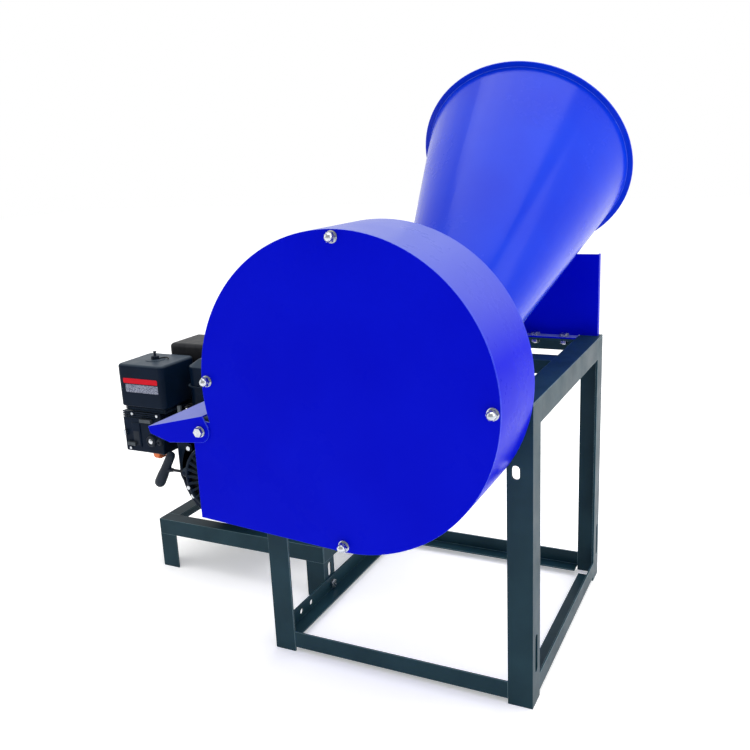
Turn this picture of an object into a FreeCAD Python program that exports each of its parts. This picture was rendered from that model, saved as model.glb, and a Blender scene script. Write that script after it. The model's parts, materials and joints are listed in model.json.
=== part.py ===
import FreeCAD, Part
import math
import os
import re

import Sketcher
from FreeCAD import Placement, Rotation, Vector

# Hammer mill with an overhung rotor, driven by a small petrol engine through two belts.
# Millimetres. +X is to the right, +Y to the back and +Z up. The origin is on the floor, under the
# middle of the machine's overall box. The formulas are in the rotor's frame, whose own origin is on the
# floor under the rotor's axis, in the plane of the main frame's front faces; piece() moves the result.
# Cutters run 1 mm past the faces that they cut.

doc = FreeCAD.newDocument("HammerMill")
sheet = doc.addObject("Spreadsheet::Sheet", "Sizes")
places = doc.addObject("App::VarSet", "Places")

SIZES = [
    ("Rotor axis from the origin", None),
    ("rotor_right", 226.0),
    ("rotor_back", -178.0),
    ("Main frame", None),
    ("frame_width", 468.0),
    ("frame_shift", 8.0),
    ("frame_depth", 478.0),
    ("frame_height", 495.0),
    ("leg_flange", 40.0),
    ("leg_wall", 4.0),
    ("rear_rail_drop", 30.0),
    ("bottom_flange", 30.0),
    ("bottom_wall", 3.0),
    ("bottom_clearance", 9.0),
    ("bearing_rail_front", 266.0),
    ("bearing_rail_width", 44.0),
    ("bearing_rail_drop", 24.0),
    ("slot_width", 12.0),
    ("short_slot", 22.0),
    ("long_slot", 65.0),
    ("front_slot_inset", 14.0),
    ("front_slot_height", 388.0),
    ("side_slot_height", 87.0),
    ("rear_slot_inset", 26.0),
    ("rear_slot_height", 80.0),
    ("tow_hole_front", 87.0),
    ("tow_hole_spacing", 36.0),
    ("joint_bolt_inset", 22.0),
    ("joint_bolt_rise", 15.0),
    ("drum_bolt_drop", 18.0),
    ("plate_bolt_inset", 26.0),
    ("plate_bolt_setback", 12.0),
    ("guard_bolt_inset", 20.0),
    ("guard_bolt_drop", 141.0),
    ("guard_rail_bolt", 30.0),
    ("guard_rail_drop", 17.0),
    ("Engine shelf", None),
    ("shelf_length", 402.0),
    ("shelf_front", 182.0),
    ("shelf_height", 109.0),
    ("shelf_drop", 34.0),
    ("shelf_flange", 30.0),
    ("shelf_wall", 3.0),
    ("shelf_leg", 40.0),
    ("shelf_slot_height", 54.0),
    ("bar_width", 40.0),
    ("bar_thickness", 5.0),
    ("bar_end_gap", 2.0),
    ("Drum", None),
    ("bearing_rise", 35.0),
    ("drum_radius", 228.0),
    ("drum_depth", 154.0),
    ("cover_wall", 3.0),
    ("back_wall", 4.0),
    ("rim_wall", 3.0),
    ("floor_tilt", 3.7),
    ("outlet_angle", 191.0),
    ("ear_angle", 194.2),
    ("shaft_hole_radius", 20.0),
    ("stud_inset", 10.0),
    ("stud_radius", 4.0),
    ("stud_overhang", 11.0),
    ("hole_clearance", 0.5),
    ("washer_radius", 8.5),
    ("washer_wall", 1.6),
    ("nut_flats", 13.0),
    ("nut_height", 6.5),
    ("Discharge flap", None),
    ("pivot_left", 237.0),
    ("pivot_drop", 70.0),
    ("ear_radius", 16.0),
    ("flap_reach", 100.0),
    ("flap_tip_drop", 2.0),
    ("flap_heel", 5.0),
    ("flap_heel_rise", 24.0),
    ("flap_wall", 2.5),
    ("cheek_gap", 0.5),
    ("cheek_radius", 18.0),
    ("pivot_fit", 0.08),
    ("Feed cone", None),
    ("feed_right", 99.0),
    ("feed_rise", 64.0),
    ("feed_tilt", 30.0),
    ("feed_radius", 79.0),
    ("mouth_radius", 177.0),
    ("feed_length", 460.0),
    ("feed_wall", 2.0),
    ("mouth_lip", 9.0),
    ("Guard plate", None),
    ("plate_front", 461.0),
    ("plate_top", 648.0),
    ("plate_foot_left", 78.0),
    ("plate_edge_inset", 6.0),
    ("plate_overhang", 80.0),
    ("plate_step", 575.0),
    ("plate_wall", 3.0),
    ("plate_foot", 22.0),
    ("Rotor", None),
    ("shaft_radius", 12.5),
    ("running_fit", 0.05),
    ("assembly_fit", 0.1),
    ("disc_radius", 135.0),
    ("disc_wall", 6.0),
    ("disc_pitch", 52.0),
    ("first_disc", 28.0),
    ("hub_radius", 25.0),
    ("pin_circle", 120.0),
    ("pin_radius", 6.0),
    ("pin_head_radius", 9.0),
    ("pin_head", 4.0),
    ("hammer_clearance", 10.0),
    ("hammer_width", 30.0),
    ("hammer_wall", 5.0),
    ("spacer_radius", 9.0),
    ("side_play", 0.4),
    ("screen_inset", 32.0),
    ("screen_wall", 2.0),
    ("screen_hole", 7.0),
    ("screen_gap", 0.3),
    ("Bearing blocks", None),
    ("block_length", 140.0),
    ("block_width", 38.0),
    ("block_foot", 15.0),
    ("block_radius", 34.0),
    ("block_bolt_spacing", 105.0),
    ("bolt_radius", 5.0),
    ("bolt_head_radius", 8.0),
    ("bolt_head", 6.0),
    ("Belt drive", None),
    ("pulley_gap", 3.0),
    ("pulley_width", 34.0),
    ("mill_pulley_radius", 40.0),
    ("engine_pulley_radius", 50.0),
    ("groove_depth", 10.0),
    ("belt_thickness", 8.0),
    ("belt_width", 9.0),
    ("belt_seat", 1.2),
    ("guard_room", 35.0),
    ("guard_wall", 1.5),
    ("guard_depth", 46.0),
    ("strap_wall", 2.0),
    ("Engine", None),
    ("crank_left", 482.0),
    ("crank_rise", 106.0),
    ("crank_radius", 10.0),
    ("foot_spacing_wide", 162.0),
    ("foot_spacing_deep", 75.0),
    ("foot_wall", 12.0),
    ("foot_margin", 14.0),
    ("fan_front", 200.0),
    ("fan_radius", 104.0),
    ("fan_depth", 85.0),
    ("fan_top", 125.0),
    ("fan_right", 82.0),
    ("case_depth", 140.0),
    ("case_half_width", 70.0),
    ("case_top", 84.0),
    ("boss_radius", 30.0),
    ("boss_depth", 22.0),
    ("cylinder_tilt", 25.0),
    ("cylinder_size", 90.0),
    ("cylinder_start", 60.0),
    ("cylinder_end", 150.0),
    ("head_end", 190.0),
    ("fin_wall", 2.5),
    ("fin_height", 10.0),
    ("recoil_radius", 75.0),
    ("recoil_depth", 28.0),
    ("handle_radius", 10.0),
    ("handle_length", 90.0),
    ("handle_tilt", 30.0),
    ("handle_left", 133.0),
    ("handle_rise", 4.0),
    ("rope_radius", 3.0),
    ("tank_width", 188.0),
    ("tank_depth", 188.0),
    ("tank_height", 104.0),
    ("tank_front", 232.0),
    ("tank_radius", 25.0),
    ("cap_radius", 28.0),
    ("cap_height", 18.0),
    ("cleaner_left", 238.0),
    ("cleaner_width", 119.0),
    ("cleaner_depth", 110.0),
    ("cleaner_height", 104.0),
    ("cleaner_front", 190.0),
    ("cleaner_radius", 10.0),
    ("knob_radius", 8.0),
    ("knob_height", 18.0),
    ("carburettor_width", 105.0),
    ("carburettor_depth", 88.0),
    ("carburettor_height", 92.0),
    ("carburettor_left", 247.0),
    ("muffler_width", 96.0),
    ("muffler_depth", 105.0),
    ("muffler_height", 86.0),
    ("muffler_left", 202.0),
    ("muffler_front", 320.0),
    ("muffler_rise", 156.0),
    ("intake_left", 170.0),
    ("intake_right", 142.0),
    ("intake_low", 62.0),
    ("intake_high", 92.0),
    ("exhaust_left", 165.0),
    ("exhaust_right", 135.0),
    ("exhaust_half", 15.0),
    ("exhaust_low", 90.0),
    ("bowl_radius", 18.0),
    ("bowl_depth", 20.0),
    ("bowl_back", 30.0),
    ("lever_stand", 9.0),
    ("lever_gap", 0.3),
    ("lever_wall", 8.0),
    ("tap_height", 16.0),
    ("choke_height", 70.0),
    ("tap_length", 24.0),
    ("choke_length", 30.0),
    ("throttle_radius", 9.0),
    ("throttle_arm", 42.0),
]

# Values worked out from the sizes above, in the order in which they need each other.
DERIVED = [
    ("frame_left", "-frame_width / 2 - frame_shift"),
    ("frame_right", "frame_width / 2 - frame_shift"),
    ("rail_top", "frame_height - leg_wall"),
    ("inner_left", "frame_left + leg_flange"),
    ("inner_right", "frame_right - leg_flange"),
    ("leg_back", "frame_depth - leg_flange"),
    ("axis_height", "rail_top + bearing_rise"),
    ("shelf_left", "frame_left - shelf_length"),
    ("shelf_back", "frame_depth"),
    ("shelf_under", "shelf_height - shelf_wall"),
    ("shelf_leg_top", "shelf_height - shelf_drop"),
    ("floor_angle", "-90 - floor_tilt"),
    ("inner_radius", "drum_radius - rim_wall"),
    ("stud_circle", "drum_radius - stud_inset"),
    ("screen_radius", "drum_radius - screen_inset"),
    ("hammer_reach", "screen_radius - pin_circle - hammer_clearance"),
    ("drum_bolt_outer", "drum_radius * 0.658"),
    ("drum_bolt_inner", "drum_bolt_outer / 3"),
    ("cover_back", "-drum_depth + cover_wall"),
    ("pivot_height", "axis_height - pivot_drop"),
    ("feed_slope", "(mouth_radius - feed_radius) / feed_length"),
    ("front_block", "bearing_rail_front + bearing_rail_width / 2"),
    ("rear_block", "frame_depth - leg_flange / 2"),
    ("pulley_front", "frame_depth + pulley_gap"),
    ("pulley_back", "pulley_front + pulley_width"),
    ("bar_top", "shelf_height + bar_thickness"),
    ("crank_height", "bar_top + crank_rise"),
    ("fan_back", "fan_front + fan_depth"),
    ("case_back", "fan_back + case_depth"),
    ("foot_middle", "fan_back + case_depth / 2 + 2"),
    ("tank_floor", "crank_height + fan_top"),
    ("tank_left", "-crank_left - fan_radius + 3"),
    ("cleaner_right", "-crank_left - cleaner_left + cleaner_width"),
    ("cleaner_floor", "crank_height + 120"),
    ("handle_height", "crank_height + handle_rise"),
]

# Bolt places: (x, z) where a bolt runs along Y, (y, z) along X, and one value in a row of bolts.
HOUSING_BOLTS = ("-drum_bolt_outer", "-drum_bolt_inner", "drum_bolt_inner", "drum_bolt_outer")
HOUSING_BOLT_HEIGHT = "rail_top - drum_bolt_drop"
BLOCK_BOLTS = ("-block_bolt_spacing / 2", "block_bolt_spacing / 2")
PLATE_BOLTS = ("plate_foot_left + plate_bolt_inset", "inner_right - plate_bolt_inset")
PLATE_BOLT_BACK = "plate_front - plate_bolt_setback"
GUARD_LEG_BOLT = ("inner_left - guard_bolt_inset", "axis_height - guard_bolt_drop")
GUARD_RAIL_BOLT = ("guard_rail_bolt", "rail_top - guard_rail_drop")
LOW_BOLT_HEIGHT = "bottom_clearance + bottom_flange / 2"
LEFT_RAIL_HOLES = ("tow_hole_front", "tow_hole_front + tow_hole_spacing", "shelf_front + joint_bolt_inset")
SHELF_LEG_BOLT = ("shelf_front + joint_bolt_inset", LOW_BOLT_HEIGHT)
SHELF_RAIL_BOLT = ("leg_back + joint_bolt_inset", "shelf_leg_top + joint_bolt_rise")
FOOT_ROWS = ("foot_middle - foot_spacing_deep / 2", "foot_middle + foot_spacing_deep / 2")
FOOT_COLUMNS = ("-crank_left - foot_spacing_wide / 2", "-crank_left + foot_spacing_wide / 2")

# Drum seen from the front, about the rotor's axis: a circle with an ear at the flap and a sloping floor.
DRUM_OUTLINE = [
    ("drum_radius * cos(floor_angle)", "drum_radius * sin(floor_angle)", "drum_radius", 1, True),
    ("drum_radius * cos(ear_angle)", "drum_radius * sin(ear_angle)"),
    ("-pivot_left", "-pivot_drop + ear_radius", "ear_radius", 1, False),
    ("-pivot_left - ear_radius", "-pivot_drop"),
    ("-pivot_left - ear_radius",
     "(drum_radius + (pivot_left + ear_radius) * cos(floor_angle)) / sin(floor_angle)"),
]

# Screen drillings to the half circle, cover studs, hammer pins and hammers.
SCREEN_HOLES = 15
STUDS = [(f"stud_circle * cos({angle})", f"axis_height + stud_circle * sin({angle})")
         for angle in (89.1, 177.8, -0.2, -91.3)]
PINS = [(f"pin_circle * cos({angle})", f"axis_height + pin_circle * sin({angle})")
        for angle in (45, 135, 225, 315)]
HAMMER_PLACES = [f"-first_disc - disc_pitch * {share}" for share in (0.33, 0.67, 1.33, 1.67)]

# Pulley grooves, the belt guard's straps, and the starter's slots and rope.
GROOVES = ("pulley_width * 0.25", "pulley_width * 0.75")
STRAPS = [("frame_left + 2", "inner_left - 2"), ("10", "50")]
RECOIL_SLOTS = 18
ROPE_PLACE = "fan_front - recoil_depth / 2"
ROPE_END = "-crank_left - recoil_radius + 11"

OWNER = {}
PIECES = []


def qualified(formula):
    """Write the plain names in a formula as references to the sheet or to the derived values."""
    return re.sub(r"[a-z_]+", lambda found: OWNER.get(found.group(), "") + found.group(), str(formula))


def value(formula):
    """Number that a formula gives with the document's present sizes."""
    return float(sheet.evalExpression(qualified(formula)))


def fill_sheet():
    """Write each driving size in its own named cell, under its group's heading."""
    for row, (name, number) in enumerate(SIZES, start=1):
        sheet.set(f"A{row}", name)
        if number is not None:
            sheet.set(f"B{row}", str(number))
            sheet.setAlias(f"B{row}", name)
            OWNER[name] = "Sizes."
    doc.recompute()


def add_places():
    """Bind each derived value to its formula."""
    for name, formula in DERIVED:
        places.addProperty("App::PropertyFloat", name)
        places.setExpression(name, qualified(formula))
        OWNER[name] = "Places."
        doc.recompute()


def bind(item, **formulas):
    """Bind an object's properties to formulas over the named sizes."""
    for name, formula in formulas.items():
        item.setExpression(name, qualified(formula))


def put(item, x, y, z):
    """Bind the place of an object's own origin."""
    for letter, formula in zip("xyz", (x, y, z)):
        item.setExpression(f"Placement.Base.{letter}", qualified(formula))
    return item


def box(name, x, y, z):
    """Block between two formulas along each axis."""
    item = doc.addObject("Part::Box", name)
    bind(item, Length=f"({x[1]}) - ({x[0]})", Width=f"({y[1]}) - ({y[0]})", Height=f"({z[1]}) - ({z[0]})")
    return put(item, x[0], y[0], z[0])


TURN_TO = {
    "X": Rotation(Vector(0, 1, 0), 90),
    "Y": Rotation(Vector(1, 0, 0), -90),
    "Z": Rotation(),
}


def rod(name, axis, radius, span, at):
    """Cylinder along an axis between two formulas; `at` is its place across the axis."""
    item = doc.addObject("Part::Cylinder", name)
    bind(item, Radius=radius, Height=f"({span[1]}) - ({span[0]})")
    item.Placement = Placement(Vector(), TURN_TO[axis])
    start = list(at)
    start.insert("XYZ".index(axis), span[0])
    return put(item, *start)


def hexagon(name, axis, flats, span, at):
    """Hexagonal prism along an axis, given its width across flats."""
    item = doc.addObject("Part::Prism", name)
    item.Polygon = 6
    bind(item, Circumradius=f"({flats}) / sqrt(3)", Height=f"({span[1]}) - ({span[0]})")
    item.Placement = Placement(Vector(), TURN_TO[axis])
    start = list(at)
    start.insert("XYZ".index(axis), span[0])
    return put(item, *start)


def fuse(name, *items):
    """One solid from pieces that meet."""
    item = doc.addObject("Part::MultiFuse", name)
    item.Shapes = list(items)
    item.Refine = True
    return item


def group(name, items):
    """Separate solids kept together as one node."""
    item = doc.addObject("Part::Compound", name)
    item.Links = list(items)
    return item


def cut(name, base, *tools):
    """A piece with one or more tools taken out of it."""
    item = doc.addObject("Part::Cut", name)
    item.Base = base
    item.Tool = tools[0] if len(tools) == 1 else group(name + "_tools", tools)
    return item


def ball(name, radius, x, y, z):
    """Whole sphere about a point."""
    item = doc.addObject("Part::Sphere", name)
    bind(item, Radius=radius)
    return put(item, x, y, z)


def rounded(name, base, radius, axes="XYZ"):
    """Fillet the straight edges of a block that run along the given axes."""
    doc.recompute()
    item = doc.addObject("Part::Fillet", name)
    item.Base = base
    size = value(radius)
    edges = []
    for number, edge in enumerate(base.Shape.Edges, start=1):
        run = edge.Vertexes[-1].Point - edge.Vertexes[0].Point
        if "XYZ"[max(range(3), key=lambda side: abs(run[side]))] in axes:
            edges.append((number, size, size))
    item.Edges = edges
    return item


def piece(node, item):
    """Keep an object as a sub-part under the name of its node, moved from the rotor's frame to the origin."""
    item.Label = node + "_in_rotor_frame"
    placed = doc.addObject("Part::Compound", node + "_placed")
    placed.Links = [item]
    placed.Label = node
    PIECES.append(put(placed, "rotor_right", "rotor_back", "0"))


def origin_plane(body, role):
    """One of a body's own origin planes."""
    return [plane for plane in body.Origin.OriginFeatures if plane.Role == role][0]


def outline(body, role, corners):
    """Closed sketch through corners (x, y) or (x, y, radius, turn, large).

    A corner with a radius starts an arc to the next corner: turn is +1 for anticlockwise,
    and large picks the longer way round.
    """
    sketch = body.newObject("Sketcher::SketchObject", body.Name + "_outline")
    sketch.AttachmentSupport = [(origin_plane(body, role), "")]
    sketch.MapMode = "FlatFace"
    points = [Vector(value(corner[0]), value(corner[1]), 0) for corner in corners]
    for index, corner in enumerate(corners):
        start = points[index]
        end = points[(index + 1) % len(points)]
        if len(corner) == 2:
            sketch.addGeometry(Part.LineSegment(start, end))
        else:
            sketch.addGeometry(arc_between(start, end, value(corner[2]), corner[3], corner[4]))
    for index, corner in enumerate(corners):
        first = start_vertex(corner)
        following = (index + 1) % len(corners)
        sketch.addConstraint(
            Sketcher.Constraint("Coincident", index, 3 - first, following,
                                start_vertex(corners[following])))
        for kind, formula in zip(("DistanceX", "DistanceY"), corner[:2]):
            place = sketch.addConstraint(Sketcher.Constraint(kind, index, first, value(formula)))
            sketch.setExpression(f"Constraints[{place}]", qualified(formula))
        if len(corner) > 2:
            place = sketch.addConstraint(Sketcher.Constraint("Radius", index, value(corner[2])))
            sketch.setExpression(f"Constraints[{place}]", qualified(corner[2]))
    return sketch


def start_vertex(corner):
    """Which end of an edge lies at its corner: a clockwise arc is stored back to front."""
    return 2 if len(corner) > 2 and corner[3] < 0 else 1


def arc_between(start, end, radius, turn, large):
    """Arc of a circle from start to end."""
    chord = end - start
    half = chord.Length / 2
    across = Vector(-chord.y, chord.x, 0).normalize()
    side = turn if not large else -turn
    centre = (start + end) * 0.5 + across * (side * math.sqrt(max(radius * radius - half * half, 0)))
    first, last = (start, end) if turn > 0 else (end, start)
    from_angle = math.atan2(first.y - centre.y, first.x - centre.x)
    to_angle = math.atan2(last.y - centre.y, last.x - centre.x)
    return Part.ArcOfCircle(Part.Circle(centre, Vector(0, 0, 1), radius), from_angle, to_angle)


def prism(name, role, corners, thickness, at):
    """Body padded from an outline: an XZ outline grows towards +Y, an XY one towards +Z."""
    body = doc.addObject("PartDesign::Body", name)
    sketch = outline(body, role, corners)
    pad = body.newObject("PartDesign::Pad", name + "_pad")
    pad.Profile = sketch
    pad.Reversed = role == "XZ_Plane"
    bind(pad, Length=thickness)
    body.Tip = pad
    return put(body, *at)


def turned(name, corners, at):
    """Body of revolution about a line along Y; corners are (radius, distance along Y)."""
    body = doc.addObject("PartDesign::Body", name)
    sketch = outline(body, "XY_Plane", corners)
    spin = body.newObject("PartDesign::Revolution", name + "_turn")
    spin.Profile = sketch
    spin.ReferenceAxis = (sketch, ["V_Axis"])
    spin.Angle = 360
    body.Tip = spin
    return put(body, *at)


AXES = {
    "+X": Vector(1, 0, 0), "-X": Vector(-1, 0, 0),
    "+Y": Vector(0, 1, 0), "-Y": Vector(0, -1, 0),
    "+Z": Vector(0, 0, 1), "-Z": Vector(0, 0, -1),
}


def angle_iron(name, corner, flanges, length, wall):
    """Rolled angle along the cross product of its two flanges, given as {direction: width}."""
    (first, first_width), (second, second_width) = flanges.items()
    corners = [
        ("0", "0"),
        (first_width, "0"),
        (first_width, wall),
        (wall, wall),
        (wall, second_width),
        ("0", second_width),
    ]
    body = prism(name, "XY_Plane", corners, length, ("0", "0", "0"))
    run = AXES[first].cross(AXES[second])
    body.Placement = Placement(Vector(), Rotation(AXES[first], AXES[second], run, "XYZ"))
    return put(body, *corner)


def slot(name, axis, length, centre, depth):
    """Upright slot cutter with round ends, through a wall along X or Y."""
    x, y, z = centre
    half = f"({length}) / 2 - slot_width / 2"
    if axis == "Y":
        middle = box(name + "_middle", (f"{x} - slot_width / 2", f"{x} + slot_width / 2"), depth,
                     (f"{z} - ({half})", f"{z} + ({half})"))
        ends = [rod(f"{name}_end{sign}", "Y", "slot_width / 2", depth, (x, f"{z} {mark} ({half})"))
                for sign, mark in enumerate("+-")]
    else:
        middle = box(name + "_middle", depth, (f"{y} - slot_width / 2", f"{y} + slot_width / 2"),
                     (f"{z} - ({half})", f"{z} + ({half})"))
        ends = [rod(f"{name}_end{sign}", "X", "slot_width / 2", depth, (y, f"{z} {mark} ({half})"))
                for sign, mark in enumerate("+-")]
    return fuse(name, middle, *ends)


def bolt(name, axis, radius, head, grip, at, out=1):
    """Bolt with a hexagonal head and nut around a grip, as one solid.

    head is its width across flats; out is +1 where the head is at the far end of the grip.
    """
    low, high = grip
    near, far = (2, 0) if out > 0 else (0, 2)
    shank = rod(name + "_shank", axis, radius,
                (f"({low}) - bolt_head - {near}", f"({high}) + bolt_head + {far}"), at)
    upper = hexagon(name + "_upper", axis, head, (high, f"({high}) + bolt_head"), at)
    lower = hexagon(name + "_lower", axis, head, (f"({low}) - bolt_head", low), at)
    return fuse(name, shank, upper, lower)


def main_frame():
    """Legs, rails and the cross rail that carries the front bearing."""
    legs = {
        "front_left_leg": (("frame_left", "0"), {"+X": "leg_flange", "+Y": "leg_flange"}),
        "front_right_leg": (("frame_right", "0"), {"+Y": "leg_flange", "-X": "leg_flange"}),
        "rear_left_leg": (("frame_left", "frame_depth"), {"-Y": "leg_flange", "+X": "leg_flange"}),
        "rear_right_leg": (("frame_right", "frame_depth"), {"-X": "leg_flange", "-Y": "leg_flange"}),
    }
    bars = {}
    for name, (corner, flanges) in legs.items():
        bars[name] = angle_iron(name + "_bar", (*corner, "0"), flanges, "rail_top", "leg_wall")
    side_wall = ("frame_right - leg_wall - 1", "frame_right + 1")
    front_slot = slot("front_slot", "Y", "short_slot", ("inner_right + front_slot_inset", "0",
                                                        "front_slot_height"), ("-1", "leg_wall + 1"))
    side_slot = slot("side_slot", "X", "long_slot", ("0", "leg_flange / 2", "side_slot_height"), side_wall)
    rear_slot = slot("rear_slot", "X", "long_slot", ("0", "leg_back + rear_slot_inset", "rear_slot_height"),
                     side_wall)
    guard_hole = rod("guard_hole", "Y", "bolt_radius + hole_clearance", ("leg_back", "frame_depth + 1"),
                     GUARD_LEG_BOLT)
    shelf_hole = rod("shelf_hole", "X", "bolt_radius + hole_clearance",
                     ("frame_left - 1", "frame_left + leg_wall + 1"),
                     SHELF_RAIL_BOLT)
    piece("front_left_leg", bars["front_left_leg"])
    piece("front_right_leg", cut("front_right_leg", bars["front_right_leg"], front_slot, side_slot))
    piece("rear_left_leg", cut("rear_left_leg", bars["rear_left_leg"], guard_hole, shelf_hole))
    piece("rear_right_leg", cut("rear_right_leg", bars["rear_right_leg"], rear_slot))
    bottom_rails()
    top_rails()


def bottom_rails():
    """Four lighter rails a little above the floor, between the legs."""
    across = "inner_right - inner_left"
    along = "leg_back - leg_flange"
    low = "bottom_clearance"
    front = angle_iron("front_bottom_bar", ("inner_left", "0", low),
                       {"+Y": "bottom_flange", "+Z": "bottom_flange"}, across, "bottom_wall")
    rear = angle_iron("rear_bottom_bar", ("inner_left", "frame_depth", low),
                      {"+Z": "bottom_flange", "-Y": "bottom_flange"}, across, "bottom_wall")
    left = angle_iron("left_bottom_bar", ("frame_left", "leg_flange", low),
                      {"+Z": "bottom_flange", "+X": "bottom_flange"}, along, "bottom_wall")
    right = angle_iron("right_bottom_bar", ("frame_right", "leg_flange", low),
                       {"-X": "bottom_flange", "+Z": "bottom_flange"}, along, "bottom_wall")
    outer = ("frame_left - 1", "frame_left + bottom_wall + 1")
    holes = [rod(f"left_rail_hole{index}", "X", "bolt_radius + hole_clearance", outer,
                 (place, LOW_BOLT_HEIGHT))
             for index, place in enumerate(LEFT_RAIL_HOLES)]
    piece("front_bottom_rail", front)
    piece("rear_bottom_rail", rear)
    piece("left_bottom_rail", cut("left_bottom_rail", left, *holes))
    piece("right_bottom_rail", right)


def top_rails():
    """Side rails over the legs, end rails between them and the bearing rail under the side rails."""
    notch_under = ("0", "rail_top")
    for side, edge, flanges in (("left", "frame_left", {"+X": "leg_flange", "-Z": "leg_flange"}),
                                ("right", "frame_right", {"-Z": "leg_flange", "-X": "leg_flange"})):
        bar = angle_iron(f"{side}_top_bar", (edge, "0", "frame_height"), flanges, "frame_depth", "leg_wall")
        reach = (f"{edge} - leg_flange", f"{edge} + leg_flange")
        copes = [box(f"{side}_front_cope", reach, ("-1", "leg_flange"), notch_under),
                 box(f"{side}_rear_cope", reach, ("leg_back", "frame_depth + 1"), notch_under)]
        piece(f"{side}_top_rail", cut(f"{side}_top_rail", bar, *copes))
    across = "inner_right - inner_left"
    front = angle_iron("front_top_bar", ("inner_left", "0", "rail_top"),
                       {"-Z": "leg_flange", "+Y": "leg_flange"}, across, "leg_wall")
    rear = angle_iron("rear_top_bar", ("inner_left", "frame_depth", "rail_top"),
                      {"-Y": "leg_flange", "-Z": "rear_rail_drop"}, across, "leg_wall")
    middle = angle_iron("bearing_bar", ("frame_left + leg_wall", "bearing_rail_front", "rail_top"),
                        {"-Z": "bearing_rail_drop", "+Y": "bearing_rail_width"},
                        "frame_width - 2 * leg_wall", "leg_wall")
    wall_holes = [rod(f"front_rail_hole{index}", "Y", "stud_radius + hole_clearance",
                      ("-1", "leg_wall + 1"),
                      (place, HOUSING_BOLT_HEIGHT)) for index, place in enumerate(HOUSING_BOLTS)]
    deck = ("rail_top - leg_wall - 1", "rail_top + 1")
    front_holes = [rod(f"bearing_rail_hole{index}", "Z", "bolt_radius + hole_clearance", deck,
                       (place, "front_block"))
                   for index, place in enumerate(BLOCK_BOLTS)]
    rear_holes = [rod(f"rear_rail_hole{index}", "Z", "bolt_radius + hole_clearance", deck,
                      (place, "rear_block"))
                  for index, place in enumerate(BLOCK_BOLTS)]
    rear_holes += [rod(f"plate_rail_hole{index}", "Z", "bolt_radius + hole_clearance", deck,
                       (place, PLATE_BOLT_BACK))
                   for index, place in enumerate(PLATE_BOLTS)]
    rear_holes.append(rod("guard_rail_hole", "Y", "bolt_radius + hole_clearance",
                          ("frame_depth - leg_wall - 1", "frame_depth + 1"), GUARD_RAIL_BOLT))
    piece("front_top_rail", cut("front_top_rail", front, *wall_holes))
    piece("rear_top_rail", cut("rear_top_rail", rear, *rear_holes))
    piece("bearing_rail", cut("bearing_rail", middle, *front_holes))


def engine_shelf():
    """Low angle frame beside the main frame, and the two bars that the engine stands on."""
    front = angle_iron("shelf_front_bar", ("shelf_left", "shelf_front", "shelf_height"),
                       {"-Z": "shelf_drop", "+Y": "shelf_flange"}, "shelf_length", "shelf_wall")
    rear = angle_iron("shelf_rear_bar", ("shelf_left", "shelf_back", "shelf_height"),
                      {"-Y": "shelf_flange", "-Z": "shelf_drop"}, "shelf_length", "shelf_wall")
    piece("shelf_front_rail", front)
    piece("shelf_rear_rail", rear)
    length = "shelf_back - shelf_front - 2 * shelf_wall"
    ends = []
    for side, edge, flanges in (("left", "shelf_left", {"+X": "shelf_flange", "-Z": "shelf_drop"}),
                                ("right", "frame_left", {"-Z": "shelf_drop", "-X": "shelf_flange"})):
        bar = angle_iron(f"shelf_{side}_bar", (edge, "shelf_front + shelf_wall", "shelf_height"), flanges,
                         length, "shelf_wall")
        reach = (f"{edge} - shelf_flange", f"{edge} + shelf_flange")
        top = ("shelf_under", "shelf_height + 1")
        tools = [box(f"shelf_{side}_cope_front", reach, ("shelf_front", "shelf_front + shelf_flange"), top),
                 box(f"shelf_{side}_cope_rear", reach, ("shelf_back - shelf_flange", "shelf_back"), top)]
        if side == "right":
            tools.append(rod("shelf_rail_hole", "X", "bolt_radius + hole_clearance",
                             ("frame_left - shelf_wall - 1", "frame_left + 1"),
                             SHELF_RAIL_BOLT))
        ends.append(cut(f"shelf_{side}_coped", bar, *tools))
    piece("shelf_end_rails", group("shelf_end_rails", ends))
    corners = {
        "front_left": (("shelf_left", "shelf_front"), {"+X": "shelf_leg", "+Y": "shelf_leg"}),
        "front_right": (("frame_left", "shelf_front"), {"+Y": "shelf_leg", "-X": "shelf_leg"}),
        "rear_left": (("shelf_left", "shelf_back"), {"-Y": "shelf_leg", "+X": "shelf_leg"}),
        "rear_right": (("frame_left", "shelf_back"), {"-X": "shelf_leg", "-Y": "shelf_leg"}),
    }
    legs = {name: angle_iron(f"shelf_{name}_leg", (*corner, "0"), flanges, "shelf_leg_top", "shelf_wall")
            for name, (corner, flanges) in corners.items()}
    foot_hole = rod("shelf_leg_hole", "X", "bolt_radius + hole_clearance",
                    ("frame_left - shelf_wall - 1", "frame_left + 1"), SHELF_LEG_BOLT)
    leg_slot = slot("shelf_leg_slot", "X", "shelf_flange",
                    ("0", "shelf_front + joint_bolt_inset", "shelf_slot_height"),
                    ("frame_left - shelf_wall - 1", "frame_left + 1"))
    legs["front_right"] = cut("shelf_front_right_leg_drilled", legs["front_right"], foot_hole, leg_slot)
    piece("shelf_legs", group("shelf_legs", legs.values()))
    bars = []
    for index, middle in enumerate(FOOT_ROWS):
        bar = box(f"engine_bar_{index}", ("shelf_left + bar_end_gap", "frame_left - bar_end_gap"),
                  (f"{middle} - bar_width / 2", f"{middle} + bar_width / 2"), ("shelf_height", "bar_top"))
        holes = [rod(f"bar_hole_{index}_{side}", "Z", "stud_radius + hole_clearance",
                     ("shelf_height - 1", "bar_top + 1"), (place, middle))
                 for side, place in enumerate(FOOT_COLUMNS)]
        bars.append(cut(f"engine_bar_drilled_{index}", bar, *holes))
    piece("engine_bars", group("engine_bars", bars))

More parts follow.
